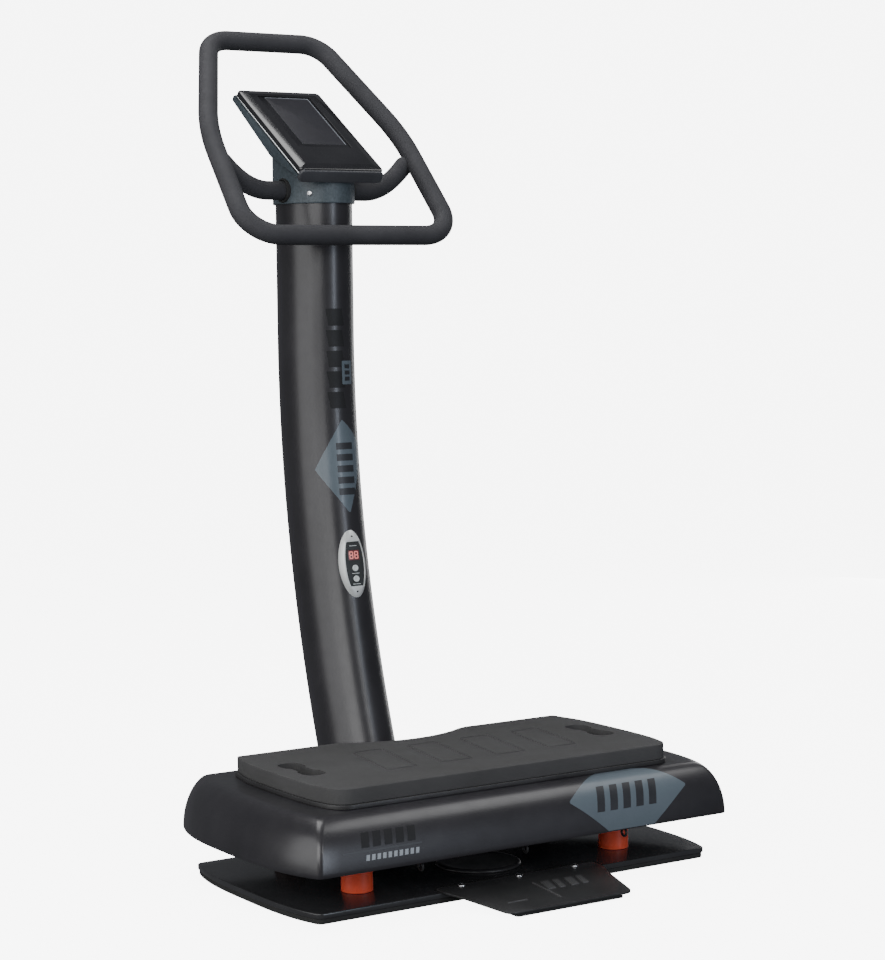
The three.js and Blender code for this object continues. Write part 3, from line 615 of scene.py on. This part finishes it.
# ---- column ----
def column_ring(z, level=None, count=96):
    """A section square to the column's curved line, or cut level at one height."""
    tangent = column_tangent(z)
    across = Vector((0, tangent.z, -tangent.y))
    ring = []
    for i in range(count):
        angle = 2 * pi * i / count
        point = Vector((0, column_y(z), z)) + Vector((1, 0, 0)) * COLUMN_A * cos(angle)
        point += across * COLUMN_B * sin(angle)
        if level is not None:
            point += tangent * ((level - point.z) / tangent.z)
        ring.append(tuple(point))
    return ring


column_heights = [75 + 865 * k / 40 for k in range(41)] + [1000, 1100, 1190]
column_rings = [column_ring(36, level=29.1)] + [column_ring(z) for z in column_heights]
column = loft("column_fine", column_rings, smooth_angle=50)
finish_piece(column, COLUMN_BLACK, "base", "column_black", "column")
foot = slab("column_foot_fine", rectangle(-112, 112, 166, 380, 30, 10), 18.8, 28.8, 1.5, 0.3)
finish_piece(foot, SATIN_BLACK, "base", "satin_black", "column_foot")


def on_column(arc, z, lift):
    """A point on the column's front: arc is mm round from the middle, to the right if positive."""
    ring_step = 0.01
    angle, travelled = -pi / 2, 0.0
    direction = 1 if arc > 0 else -1
    while travelled < abs(arc):
        travelled += hypot(COLUMN_A * sin(angle), COLUMN_B * cos(angle)) * ring_step
        angle += direction * ring_step
    tangent = column_tangent(z)
    across = Vector((0, tangent.z, -tangent.y))
    normal = (Vector((1, 0, 0)) * cos(angle) / COLUMN_A + across * sin(angle) / COLUMN_B).normalized()
    point = Vector((0, column_y(z), z)) + Vector((1, 0, 0)) * COLUMN_A * cos(angle)
    return point + across * COLUMN_B * sin(angle) + normal * lift


def patch(name, outline, on_surface, lift, thick=0.25, cell=5.0):
    """A thin sticker: the outline is filled with a grid, then laid on a surface."""
    build = bmesh.new()
    loop = [build.verts.new((u, v, 0)) for u, v in outline]
    build.faces.new(loop)
    us, vs = [p[0] for p in outline], [p[1] for p in outline]
    for values, axis in ((us, 0), (vs, 1)):
        steps = int((max(values) - min(values)) / cell)
        for k in range(1, steps + 1):
            point = [0, 0, 0]
            point[axis] = min(values) + (max(values) - min(values)) * k / (steps + 1)
            normal = (1, 0, 0) if axis == 0 else (0, 1, 0)
            bmesh.ops.bisect_plane(build, geom=build.verts[:] + build.edges[:] + build.faces[:],
                                   plane_co=point, plane_no=normal)
    flat = [(v.co.x, v.co.y) for v in build.verts]
    build.verts.index_update()
    faces = [tuple(v.index for v in f.verts) for f in build.faces]
    edges = [e for e in build.edges if len(e.link_faces) == 1]
    rim = [(e.verts[0].index, e.verts[1].index, e.link_faces[0]) for e in edges]
    count = len(flat)
    upper = [tuple(on_surface(u, v, lift + thick)) for u, v in flat]
    lower = [tuple(on_surface(u, v, lift)) for u, v in flat]
    sides = []
    for a, b, face in rim:
        order = [v.index for v in face.verts]
        if order[(order.index(a) + 1) % len(order)] != b:
            a, b = b, a
        sides.append((b, a, a + count, b + count))
    build.free()
    under = [tuple(i + count for i in reversed(face)) for face in faces]
    return new_piece(name, upper + lower, faces + under + sides, 30)


column_lozenge = rounded([(4, 588, 2), (58, 715, 2), (0, 770, 2), (-57, 676, 2)], 3)
finish_piece(patch("column_decal", column_lozenge, on_column, 0.1), DECAL, "base", "column_black")


def slant_bars(name, rows, on_surface, lift, material, body, slot):
    """Generic slanted bars on a surface: rows of (u0, u1, v0, v1, lean)."""
    bars = []
    for i, (u0, u1, v0, v1, lean) in enumerate(rows):
        outline = [(u0, v0), (u1, v0), (u1 + lean, v1), (u0 + lean, v1)]
        bars.append(patch(f"{name}_{i}", outline, on_surface, lift, 0.12, 6.0))
    return finish_piece(join(name, bars), material, body, slot)


ladder = [(-14, 22, 624 + 22 * k, 637 + 22 * k, 0) for k in range(5)]
slant_bars("column_decal_bars", ladder, on_column, 0.42, DECAL_INK, "base", "column_black")
tall = [(-20, 12, 792 + 40 * k, 824 + 40 * k, -5) for k in range(5)]
slant_bars("column_tall_bars", tall, on_column, 0.1, DECAL_SHADE, "base", "column_black")
tag = patch("column_tag", rectangle(5, 31, 838, 884, 2, 2), on_column, 0.3)
finish_piece(tag, DECAL, "base", "column_black")
tag_bars = [(11, 25, 845 + 12 * k, 853 + 12 * k, 0) for k in range(3)]
slant_bars("column_tag_bars", tag_bars, on_column, 0.6, DECAL_INK, "base", "column_black")

# ---- grab loop and arm ----
LOOP_CORNERS = [(221, 307.5, 1119), (210, 478.5, 1316), (121, 639.5, 1500)]
LOOP_CORNERS += [(-x, y, z) for x, y, z in reversed(LOOP_CORNERS)]
LOOP_BENDS = [64, 360, 58, 58, 360, 64]
LOOP_TUBE, ARM_TUBE = 18.5, 17.8
ARM_Y, ARM_Z, ARM_STRAIGHT = 445, 1205, 105
loop = tube("handlebar_loop_fine", round_path(LOOP_CORNERS, LOOP_BENDS), LOOP_TUBE, 32, closed=True)
finish_piece(loop, GRIP_FOAM, "base", "grip_foam", "handlebar_loop")


def arm_path():
    """The arm from side to side; its ends turn up and run into the loop."""
    half = [Vector((ARM_STRAIGHT * k / 8, ARM_Y, ARM_Z)) for k in range(9)]
    start, control, end = half[-1], Vector((158, ARM_Y, ARM_Z)), Vector((212, 449, 1274))
    for k in range(1, 25):
        t = k / 24
        half.append(start * (1 - t) ** 2 + control * 2 * t * (1 - t) + end * t ** 2)
    mirror = [Vector((-p.x, p.y, p.z)) for p in reversed(half[1:])]
    return mirror + half


def arm_radii(count):
    """Full radius all along, drawn in at both ends inside the loop's foam."""
    taper = (9.0, 12.0, 15.5)
    middle = [ARM_TUBE] * (count - 2 * len(taper))
    return [*taper, *middle, *reversed(taper)]


arm_points = arm_path()
arm = tube("handlebar_arm_fine", arm_points, arm_radii(len(arm_points)), 28)
finish_piece(arm, GRIP_FOAM, "base", "grip_foam", "handlebar_arm")

# ---- console ----
CONSOLE_TILT = atan2(158.4, 237)
CONSOLE = frame_at((0, 343.5, 1242.6), CONSOLE_TILT)
FACE_LENGTH, FACE_HALF = 291.0, 90.0


def console_slab(name, half, low, high, radius, w0, w1, top, bottom, steps=3):
    outline = rectangle(-half, half, low, high, radius, 8)
    return slab(name, outline, w0, w1, top, bottom, steps, CONSOLE)


def console_bezel():
    """The face plate: a flat glossy middle inside a broad sloping rim."""
    steps = ((0.6, -12.0), (0, -11.4), (0, -6.0), (0.4, -4.2), (1.4, -2.9), (3.0, -2.2), (15.0, -0.6),
             (16.5, -0.15), (18.0, 0.0))
    outline = rectangle(-FACE_HALF, FACE_HALF, 0, FACE_LENGTH, 9, 8)
    rings = []
    for margin, w in steps:
        shrink = rectangle(-FACE_HALF + margin, FACE_HALF - margin, margin, FACE_LENGTH - margin,
                           max(1.5, 9 - margin), 8)
        rings.append(placed([(x, y, w) for x, y in (shrink if margin else outline)], CONSOLE))
    return loft("console_bezel_fine", rings, smooth_angle=25)


bezel = console_bezel()
pocket = console_slab("pocket", 58.3, 77.7, 265.3, 3, -4.4, 6, 0, 0)
cut(bezel, pocket, smooth_angle=30)
finish_piece(bezel, CONSOLE_BLACK, "base", "console_black", "console_bezel")
screen = console_slab("console_screen_fine", 58, 78, 265, 2.7, -4.1, -1.6, 0.4, 0)
finish_piece(screen, SCREEN, "base", "screen_glass", "console_screen")
glass = slab("console_display_fine", rectangle(-43, 51, 89, 261, 1.5), -1.58, -1.35, 0.1, 0, matrix=CONSOLE)
finish_piece(glass, DISPLAY, "base", "screen_glass")
# Painted highlight: a thin pale strip along the display's top and right edges stands in for a glint
line_outline = [(-43, 260.4), (50.2, 260.4), (50.2, 90), (51.6, 90), (51.6, 261.8), (-43, 261.8)]
line = slab("console_display_painted_glint", line_outline, -1.5, -1.2, 0, 0, matrix=CONSOLE)
finish_piece(line, GLINT, "base", "screen_glass")
lip_outline = rectangle(-FACE_HALF + 0.5, FACE_HALF - 0.5, -29, -4.6, 9, 6)
lip_place = CONSOLE @ at(0, -1.6) @ Matrix.Rotation(pi / 2, 4, "X") @ at(0, 0, -8)
lip = slab("console_lip", lip_outline, 0, 10, 2.5, 2.5, 4, lip_place)
finish_piece(lip, LIP_GREY, "base", "console_black")
trim = console_slab("console_trim_fine", FACE_HALF + 1, -1, FACE_LENGTH + 1, 8, -14.7, -12.3, 1.0, 1.0)
finish_piece(trim, SILVER, "base", "trim_silver", "console_trim")

SHELL_PROFILE = [(5, -23), (111, -44), (FACE_LENGTH + 8, -30), (FACE_LENGTH + 8, -20),
                 (FACE_LENGTH + 2, -15), (0, -15)]


def console_shell():
    outline = rounded([(*p, r) for p, r in zip(SHELL_PROFILE, (6, 14, 4, 4, 1, 1))], 6)
    rings = []
    half = FACE_HALF
    for x, shrink in ((-half, 2.5), (0.8 - half, 1.0), (2.5 - half, 0), (half - 2.5, 0), (half - 0.8, 1.0),
                      (half, 2.5)):
        rings.append(placed([(x, v, w) for v, w in inset(outline, shrink)], CONSOLE))
    return loft("console_shell_fine", rings, smooth_angle=35)


finish_piece(console_shell(), SHELL_GREY, "base", "shell_grey", "console_shell")

# ---- neck housing, collars and screw ----
NECK_BOTTOM, NECK_GROWTH, NECK_WALL = 1180.0, 5.0, 4.3


def under_console(y):
    """Height of the console's underside above a place on the neck."""
    corners = [CONSOLE @ Vector((0, v, w)) for v, w in SHELL_PROFILE[:3]]
    pairs = [(p.y, p.z) for p in corners]
    for (y0, z0), (y1, z1) in zip(pairs, pairs[1:]):
        if y <= y1:
            return lerp(z0, z1, (y - y0) / (y1 - y0))
    return pairs[-1][1]


def neck_ring(growth, fraction, drop=0.0, count=96):
    ring = []
    for i in range(count):
        angle = 2 * pi * i / count
        x = (COLUMN_A + growth) * cos(angle)
        y = COLUMN_Y + (COLUMN_B + growth) * sin(angle)
        ring.append((x, y, lerp(NECK_BOTTOM + drop, under_console(y) - 0.3, fraction)))
    return ring


neck_rings = [neck_ring(NECK_GROWTH, f) for f in (1, 0.75, 0.5, 0.25, 0.05)]
neck_rings += [neck_ring(NECK_GROWTH, 0, 1.5), neck_ring(NECK_GROWTH - 0.5, 0, 0.4)]
neck_rings += [neck_ring(NECK_GROWTH - 1.6, 0)]
neck_rings += [neck_ring(NECK_GROWTH - NECK_WALL, 0), neck_ring(NECK_GROWTH - NECK_WALL, 1)]
finish_piece(ring_loft("neck_housing_fine", neck_rings), SHELL_GREY, "base", "shell_grey", "neck_housing")
for side, sign in (("left", -1), ("right", 1)):
    profile = [(18.2, -6), (23, -6), (23, 1.6), (22.2, 2.8), (20.5, 3.2), (18.9, 2.4), (18.2, 1.0)]
    collar_place = at(sign * 72, ARM_Y, ARM_Z) @ Matrix.Rotation(sign * pi / 2, 4, "Y")
    collar = turned_ring(f"arm_collar_{side}_fine", profile, 64, collar_place)
    finish_piece(collar, RUBBER, "base", "rubber_black", f"arm_collar_{side}")

SCREW_ANGLE = 0.72
NECK_A, NECK_B = COLUMN_A + NECK_GROWTH, COLUMN_B + NECK_GROWTH
screw_normal = Vector((-sin(SCREW_ANGLE) / NECK_A, -cos(SCREW_ANGLE) / NECK_B, 0)).normalized()
screw_seat = Vector((-NECK_A * sin(SCREW_ANGLE), COLUMN_Y - NECK_B * cos(SCREW_ANGLE), 1198))
screw_place = Matrix.Translation(screw_seat) @ screw_normal.to_track_quat("Z", "Y").to_matrix().to_4x4()
screw = turned("neck_screw_fine", [(0.02, -1), (5.2, -1), (5.2, 0.8), (4.4, 1.8), (3, 2.2), (0.02, 2.3)], 32,
               screw_place)
recess = turned("recess", [(0.02, 0.7), (2.2, 0.7), (2.2, 5), (0.02, 5)], 6, screw_place)
cut(screw, recess)
finish_piece(screw, BOLT, "base", "bolt_silver", "neck_screw")

# ---- control panel on the column ----
PANEL_Z, PANEL_HALF, PANEL_REACH = 507.0, 27.5, 65.0
INSERT_HALF, INSERT_FLAT, INSERT_REACH = 20, 42, 58
BUTTON_PLACES = (("upper", -8), ("lower", -28))
panel_slope = atan((BEND_TOP - PANEL_Z) / BEND_RADIUS)
PANEL = frame_at((0, column_y(PANEL_Z) - COLUMN_B / cos(panel_slope), PANEL_Z), pi / 2 - panel_slope)


def panel_angles():
    """Places round the panel, with one at each corner of the insert."""
    corner = asin(INSERT_FLAT / INSERT_REACH)
    arcs = [(-corner, corner, 20), (corner, pi - corner, 14), (pi - corner, pi + corner, 20),
            (pi + corner, 2 * pi - corner, 14)]
    return [lerp(a, b, k / n) for a, b, n in arcs for k in range(n)]


def insert_point(angle, shrink=0.0):
    flat = INSERT_FLAT - shrink
    return (INSERT_HALF - shrink) * cos(angle), max(-flat, min(flat, INSERT_REACH * sin(angle)))


def column_drop(x, v):
    """How far the column falls behind the flat of the panel."""
    return -COLUMN_B * (1 - sqrt(1 - (x / COLUMN_A) ** 2)) - v * v / (2 * BEND_RADIUS) * 0.2


def panel_ring(fraction, w=None, drop=0.0, shrink=0.0):
    ring = []
    for angle in panel_angles():
        ox, ov = PANEL_HALF * cos(angle), PANEL_REACH * sin(angle)
        ix, iv = insert_point(angle, shrink)
        height = lerp(column_drop(ox, ov) + 0.3, 6.0, sin(fraction * pi / 2) ** 0.8) if w is None else w
        ring.append((lerp(ox, ix, fraction), lerp(ov, iv, fraction), height + drop))
    return placed(ring, PANEL)


bezel_rings = [panel_ring(0, drop=-0.2)] + [panel_ring(k / 8) for k in range(1, 8)]
bezel_rings += [panel_ring(1, 6.0, shrink=0), panel_ring(1, 5.6, shrink=0.4), panel_ring(1, 3.0, shrink=0.4)]
bezel_rings += [panel_ring(0.5, drop=-5.0)]
panel_bezel = ring_loft("panel_bezel_fine", bezel_rings, 40)
finish_piece(panel_bezel, PANEL_SILVER, "base", "trim_silver", "panel_bezel")
insert_outline = [insert_point(a, 0.8) for a in panel_angles()]
insert = slab("panel_insert_fine", insert_outline, 2.2, 5.3, 0.3, 0, matrix=PANEL)
window = slab("window", rectangle(-12.3, 12.3, 6.7, 26.3, 1.8), 3.8, 9, 0, 0, matrix=PANEL)
wells = [turned(f"well_{name}", [(0.02, 2.6), (6.5, 2.6), (6.5, 9), (0.02, 9)], 32,
                PANEL @ at(0, v)) for name, v in BUTTON_PLACES]
cut(insert, window, *wells)
finish_piece(insert, PANEL_DARK, "base", "panel_dark", "panel_insert")
display = slab("panel_display_fine", rectangle(-12, 12, 7, 26, 1.5), 4.1, 4.9, 0.2, 0, matrix=PANEL)
finish_piece(display, LED_WINDOW, "base", "led_red", "panel_display")


def digit(name, left, low, wide, tall, stroke):
    """The seven strokes of a lit figure 8."""
    mid, top, right = low + tall / 2, low + tall, left + wide
    gap = stroke * 0.55
    across, left_side, right_side = (left + gap, right - gap), (left, left + stroke), (right - stroke, right)
    lower, upper = (low + gap, mid - gap / 2), (mid + gap / 2, top - gap)
    rows = [(*across, low, low + stroke), (*across, top - stroke, top),
            (*across, mid - stroke / 2, mid + stroke / 2),
            (*left_side, *lower), (*right_side, *lower), (*left_side, *upper), (*right_side, *upper)]
    return [slab(f"{name}_{i}", rectangle(*row), 4.9, 5.15, 0, 0, matrix=PANEL)
            for i, row in enumerate(rows)]


strokes = digit("tens", -9.6, 9.4, 8.4, 14.2, 1.9) + digit("units", 1.2, 9.4, 8.4, 14.2, 1.9)
for stroke in strokes:
    stroke.data.materials.append(LED)
finish_piece(join("panel_digits", strokes), None, "base", "led_red")
for name, v in BUTTON_PLACES:
    profile = [(0.02, 4.3), (5.7, 4.3), (6.0, 4.7), (6.0, 6.6), (5.6, 7.1), (4.4, 7.4), (3.5, 7.1),
               (0.02, 6.9)]
    button = turned(f"panel_button_{name}_fine", profile, 48, PANEL @ at(0, v))
    finish_piece(button, WHITE, f"button_{name}", "button_white", f"panel_button_{name}")
for name, v in (("upper", 51), ("lower", -51)):
    head = turned(f"panel_screw_{name}", [(0.02, 2), (2.6, 2), (2.6, 4.7), (2.0, 5.2), (0.02, 5.2)], 24,
                  PANEL @ at(0, v))
    finish_piece(head, PANEL_DARK, "base", "trim_silver")
for i, v in enumerate((34.0, -17.8, -37.8)):
    rule = slab(f"panel_rule_{i}", rectangle(-8, 8, v - 0.5, v + 0.5), 5.25, 5.45, 0, 0, matrix=PANEL)
    finish_piece(rule, WHITE, "base", "button_white")

# ---- platform cover ----
COVER_FRONT, COVER_BACK, COVER_HALF, COVER_BOW = -252.5, 224.0, 417.0, 37.5
COVER_BOTTOM, COVER_TOP, COVER_ROLL, COVER_WALL = 84.7, 174.0, 55.0, 4.0
CORNER_RADIUS, REAR_RADIUS, REAR_ROLL = 12.0, 4.0, 20.0


def cover_outline(distance, wall=0.0, ends=24, arc=5):
    """The cover's plan moved inwards: front and ends roll, the rear wall is flat with a rolled top edge."""
    middle, reach = (COVER_FRONT + COVER_BACK) / 2, (COVER_BACK - COVER_FRONT) / 2
    front = COVER_FRONT + distance
    back = min(COVER_BACK - wall, COVER_BACK + COVER_ROLL - REAR_ROLL - distance)

    def end_x(y):
        t = abs((y - middle) / reach)
        slope = COVER_BOW * 3.2 * t ** 2.2 / reach
        return COVER_HALF + COVER_BOW * (1 - t ** 3.2) - distance * sqrt(1 + slope * slope)
    span = (front + 20, back - 20)
    right = [(end_x(y), y) for y in (lerp(*span, k / ends) for k in range(ends + 1))]
    left = [(-x, y) for x, y in reversed(right)]
    fore, aft = end_x(front), end_x(back)
    front_run = [(lerp(-fore + 40, fore - 40, k / 12), front) for k in range(13)]
    back_run = [(lerp(aft - 40, -aft + 40, k / 12), back) for k in range(13)]
    return rounded([(-fore, front, CORNER_RADIUS), *front_run, (fore, front, CORNER_RADIUS), *right,
                    (aft, back, REAR_RADIUS), *back_run, (-aft, back, REAR_RADIUS), *left], arc)


def cover_rings(wall, bottom, floor_lip):
    rings = []
    if floor_lip:
        for rise, margin in ((0, 1.6), (0.5, 0.5), (1.8, 0)):
            rings.append([(x, y, bottom + rise) for x, y in cover_outline(wall + margin)])
    else:
        rings.append([(x, y, bottom) for x, y in cover_outline(wall, wall)])
    steps = 18
    for k in range(steps + 1):
        angle = pi / 2 * k / steps
        lift = (COVER_TOP - COVER_BOTTOM) * sin(angle)
        if floor_lip and lift < 3:
            continue
        ring = cover_outline(wall + COVER_ROLL * (1 - cos(angle)), wall)
        rings.append([(x, y, COVER_BOTTOM - wall + lift) for x, y in ring])
    return rings


def column_clearance(radius):
    """A round cutter for the hollow in the cover's rear wall."""
    return turned("clearance", [(0.02, 0), (radius, 0), (radius, 400), (0.02, 400)], 96, at(0, 300))


cover = loft("platform_cover_fine", cover_rings(0, COVER_BOTTOM, True))
hollow = loft("hollow", cover_rings(COVER_WALL, 40, False))
cut(cover, column_clearance(112))
cut(hollow, column_clearance(112 + COVER_WALL))
cut(cover, hollow)
opening = slab("opening", rectangle(-330, 330, -150, 139), 100, 300, 0, 0)
cut(cover, opening)
finish_piece(cover, COVER_BLACK, "platform", "cover_black", "platform_cover")


def on_cover(u, s, lift):
    """A point on the cover's front: u across, s as the turn of the roll in degrees, then mm past 90."""
    angle = radians(min(s, 90))
    level = max(0.0, s - 90)
    y = COVER_FRONT + COVER_ROLL * (1 - cos(angle)) + level
    z = COVER_BOTTOM + (COVER_TOP - COVER_BOTTOM) * sin(angle)
    normal = Vector((0, -cos(angle) / COVER_ROLL, sin(angle) / (COVER_TOP - COVER_BOTTOM))).normalized()
    return Vector((u, y, z)) + normal * lift


cover_lozenge = rounded([(157, 1.5), (256, 1.5), (338, 42, 2), (302, 66, 30), (258, 97, 12), (174, 97, 4),
                         (82, 41, 2)], 4)
finish_piece(patch("cover_decal", cover_lozenge, on_cover, 0.12, 0.25, 3.0), DECAL, "platform", "cover_black")
COVER_MARKS = (
    ("cover_decal_bars", 0.45, DECAL_INK, [(136 + 28 * k, 152 + 28 * k, 24, 58, 12) for k in range(5)]),
    ("cover_left_bars", 0.12, DECAL_SHADE, [(-336 + 22 * k, -321 + 22 * k, 26, 44, 4) for k in range(5)]),
    ("cover_left_small_bars", 0.12, DECAL_PALE,
     [(-330 + 10.5 * k, -323.5 + 10.5 * k, 12, 18, 1.5) for k in range(10)]),
    ("cover_left_rule", 0.12, DECAL_FAINT, [(-372, -222, 21.5, 23.5, 0)]),
)
for name, lift, material, rows in COVER_MARKS:
    slant_bars(name, rows, on_cover, lift, material, "platform", "cover_black")

# ---- top plate and mat ----
MAT_FRONT, MAT_BACK, MAT_HALF, MAT_BOW, MAT_TOP = -187.0, 166.0, 340.0, 18.0, 208.5
NOTCH_HALF = 130.0


def mat_outline(grow, depth):
    """Plan of the mat: bowed ends, and a hollow in the rear edge with sloping shoulders."""
    front, back = MAT_FRONT - grow, MAT_BACK + grow
    outline = bowed(front, back, MAT_HALF + grow, MAT_BOW, 36 + grow, 8, 24, 10)
    radius = (NOTCH_HALF ** 2 + depth ** 2) / (2 * depth)
    centre = back - depth + radius
    half_angle = acos((centre - back) / radius)
    notch = []
    for k in range(25):
        angle = half_angle * (1 - 2 * k / 24)
        notch.append((radius * sin(angle), centre - radius * cos(angle)))
    split = next(i for i, (x, y) in enumerate(outline) if x < 0 and y > back - 0.01)
    shoulder = 10.0
    start, end = notch[0], notch[-1]
    notch[0] = (start[0] + shoulder, back)
    notch[-1] = (end[0] - shoulder, back)
    return outline[:split] + notch + outline[split:]


top_plate = slab("top_plate_fine", mat_outline(3, 20), 174.3, 182, 1.2, 0.8)
finish_piece(top_plate, SATIN_BLACK, "platform", "satin_black", "top_plate")


def grip_hole(x):
    """A dog-bone hand hole, long in Y."""
    lobe, waist, reach, neck = 21, 14, 59, 18
    quarter = [(lobe, reach, 18), (lobe, neck + 4, 12), (waist, neck - 6, 9)]
    right = [(x + u, -v, q) for u, v, q in quarter] + [(x + u, v, q) for u, v, q in reversed(quarter)]
    left = [(x - u, v, q) for u, v, q in quarter] + [(x - u, -v, q) for u, v, q in reversed(quarter)]
    return slab("grip_hole", rounded(right + left, 6), 150, 260, 0, 0)


mat = slab("mat_fine", mat_outline(0, 42), 182.3, MAT_TOP, 1.6, 1.0, 4)
cut(mat, grip_hole(-304), grip_hole(304))
finish_piece(mat, MAT_FOAM, "loose_mat", "mat_foam", "mat")


def mat_ridge(name, path):
    """A low moulded ridge on the mat, round a closed path."""
    outline = rounded([(x, y, 5) for x, y in path], 3)
    low, high = MAT_TOP - 0.3, MAT_TOP + 1.5
    steps = ((0, low), (0.7, high), (1.7, high), (2.4, low))
    rings = [[(x, y, z) for x, y in (inset(outline, margin) if margin else outline)] for margin, z in steps]
    return ring_loft(name, rings, 30)


ridges = []
for i, x in enumerate((-190, -78, 34, 146)):
    path = [(x, -92), (x + 62, -92), (x + 92, 72), (x + 30, 72)]
    ridges.append(mat_ridge(f"ridge_{i}", path))
mat_marks = join("mat_ridges", ridges)
finish_piece(mat_marks, MAT_FOAM, "loose_mat", "mat_foam")

# ---- hooks, wheels, inlet and switch ----
HOOK_Y, HOOK_Z, HOOK_RING, HOOK_WIRE = -226, 73, 6.5, 2.2
for side, x in (("left", -210), ("centre", 0), ("right", 210)):
    ring_path = [(x, HOOK_Y + y, HOOK_Z + z) for y, z in circle(HOOK_RING, 32)]
    ring = tube("ring", ring_path, HOOK_WIRE, 14, closed=True)
    stem = turned("stem", [(0.02, 79), (3, 79), (3, 92), (0.02, 92)], 20, at(x, HOOK_Y))
    nut = slab("nut", circle(6.5, 6), 82.5, 87.5, 0.6, 0.6, matrix=at(x, HOOK_Y))
    tab = slab("tab", rectangle(x - 14, x + 14, -242, -206, 3), 92, 96, 0.6, 0.6)
    hook = join(f"eye_hook_{side}_fine", [ring, stem, nut, tab])
    finish_piece(hook, SATIN_BLACK, "platform", "steel", f"eye_hook_{side}")

WHEEL_X, WHEEL_Y, WHEEL_Z = 140, 419, 36
WHEEL_HALF_PROFILE = [(6.4, -13), (9, -13), (9.5, -11), (22, -10.4), (23, -12.6), (26.5, -13), (29.6, -11.8),
                      (31, -9)]
for side, sign in (("left", -1), ("right", 1)):
    profile = WHEEL_HALF_PROFILE + [(r, -h) for r, h in reversed(WHEEL_HALF_PROFILE)]
    place = at(sign * WHEEL_X, WHEEL_Y, WHEEL_Z) @ Matrix.Rotation(pi / 2, 4, "Y")
    wheel = turned_ring(f"transport_wheel_{side}_fine", profile, 64, place)
    finish_piece(wheel, RUBBER, f"wheel_{side}", "wheel_rubber", f"transport_wheel_{side}")

# CAD pieces whose shape is right keep it, with a finished material
MOTOR_ENDS = ("front_left", "rear_left", "front_right", "rear_right")
CARRIED = {
    SATIN_BLACK: ("under_frame", "wheel_bracket_left", "wheel_bracket_right"),
    STEEL: ("wheel_axle", *(f"motor_bearing_{end}" for end in MOTOR_ENDS), "motor_rotor_left",
            "motor_rotor_right"),
    MOTOR: ("motor_housing_left", "motor_housing_right", *(f"motor_cap_{end}" for end in MOTOR_ENDS)),
    PANEL_DARK: ("power_inlet",),
    SWITCH_RED: ("power_switch",),
    BOARD: ("drive_unit",),
}
for material, names in CARRIED.items():
    for name in names:
        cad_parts[name].material_slots[0].material = material

# ---- studio ----
def soft_light(name, place, target, wide, tall, power, colour=(1, 1, 1)):
    lamp = bpy.data.lights.new(name, "AREA")
    lamp.shape = "RECTANGLE"
    lamp.size, lamp.size_y = wide, tall
    lamp.energy = power
    lamp.color = colour
    light = bpy.data.objects.new(name, lamp)
    light.location = place
    aim = Vector(target) - Vector(place)
    light.rotation_euler = aim.to_track_quat("-Z", "Y").to_euler()
    bpy.context.scene.collection.objects.link(light)


def studio_sweep():
    """A pale floor that curves up into a round wall well outside the lights and the camera."""
    flat, bend, height = 9000, 3000, 12000
    profile = [(0.02, -1)]
    for k in range(13):
        angle = pi / 2 * k / 12
        profile.append((flat + bend * sin(angle), bend * (1 - cos(angle)) - 1))
    profile.append((flat + bend, height))
    sweep = turned("studio_floor", profile, 96)
    material, tree, shader = nodes_of("studio_white")
    tint = blend_colours(tree, noise(tree, 0.4), (0.86, 0.86, 0.865), (0.90, 0.90, 0.90))
    tree.links.new(tint, shader.inputs["Base Color"])
    set_inputs(shader, {"Roughness": 0.9, "Specular IOR Level": 0.0, "Emission Color": (1, 1, 1, 1),
                        "Emission Strength": 7.0})
    sweep.data.materials.append(material)
    sweep.visible_glossy = False
    sweep.visible_diffuse = False
    sweep.visible_shadow = False


studio_sweep()
soft_light("key", (-3.6, -2.6, 2.4), (0, 0, 0.5), 3.2, 2.6, 110)
soft_light("left_wall", (-4.1, 0.3, 1.4), (0, 0.3, 0.7), 3.6, 3.0, 70)
soft_light("front_fill", (0.2, -4.9, 2.6), (0, 0, 0.3), 1.2, 1.0, 24)
soft_light("front_strip", (1.1, -4.4, 0.9), (0, 0.3, 0.7), 0.4, 2.2, 40, (0.78, 0.86, 1.0))
soft_light("right_rim", (3.5, 2.3, 1.2), (0, 0.3, 0.8), 0.8, 2.8, 16)
soft_light("roll_band", (1.9, -0.9, 3.2), (0, -0.2, 0.15), 2.2, 1.3, 26)
soft_light("top", (-0.6, 0.9, 3.8), (0, 0.1, 0.2), 2.4, 2.0, 62)

world = bpy.data.worlds.new("studio_world")
world.use_nodes = True
set_inputs(world.node_tree.nodes["Background"], {"Color": (0.9, 0.93, 1.0, 1), "Strength": 0.12})
bpy.context.scene.world = world

# ---- camera ----
CAMERA_PLACE = (-2.2856, -3.4863, 1.0204)
CAMERA_TURN, CAMERA_DIP, CAMERA_ROLL = radians(-33.107), radians(4.599), radians(-0.594)
camera_data = bpy.data.cameras.new("camera")
camera_data.sensor_width = 36.0
camera_data.lens = 89.57
camera = bpy.data.objects.new("camera", camera_data)
turn = Matrix.Rotation(CAMERA_TURN, 4, "Z") @ Matrix.Rotation(pi / 2 - CAMERA_DIP, 4, "X")
camera.matrix_world = Matrix.Translation(CAMERA_PLACE) @ turn @ Matrix.Rotation(CAMERA_ROLL, 4, "Z")
bpy.context.scene.collection.objects.link(camera)
bpy.context.scene.camera = camera
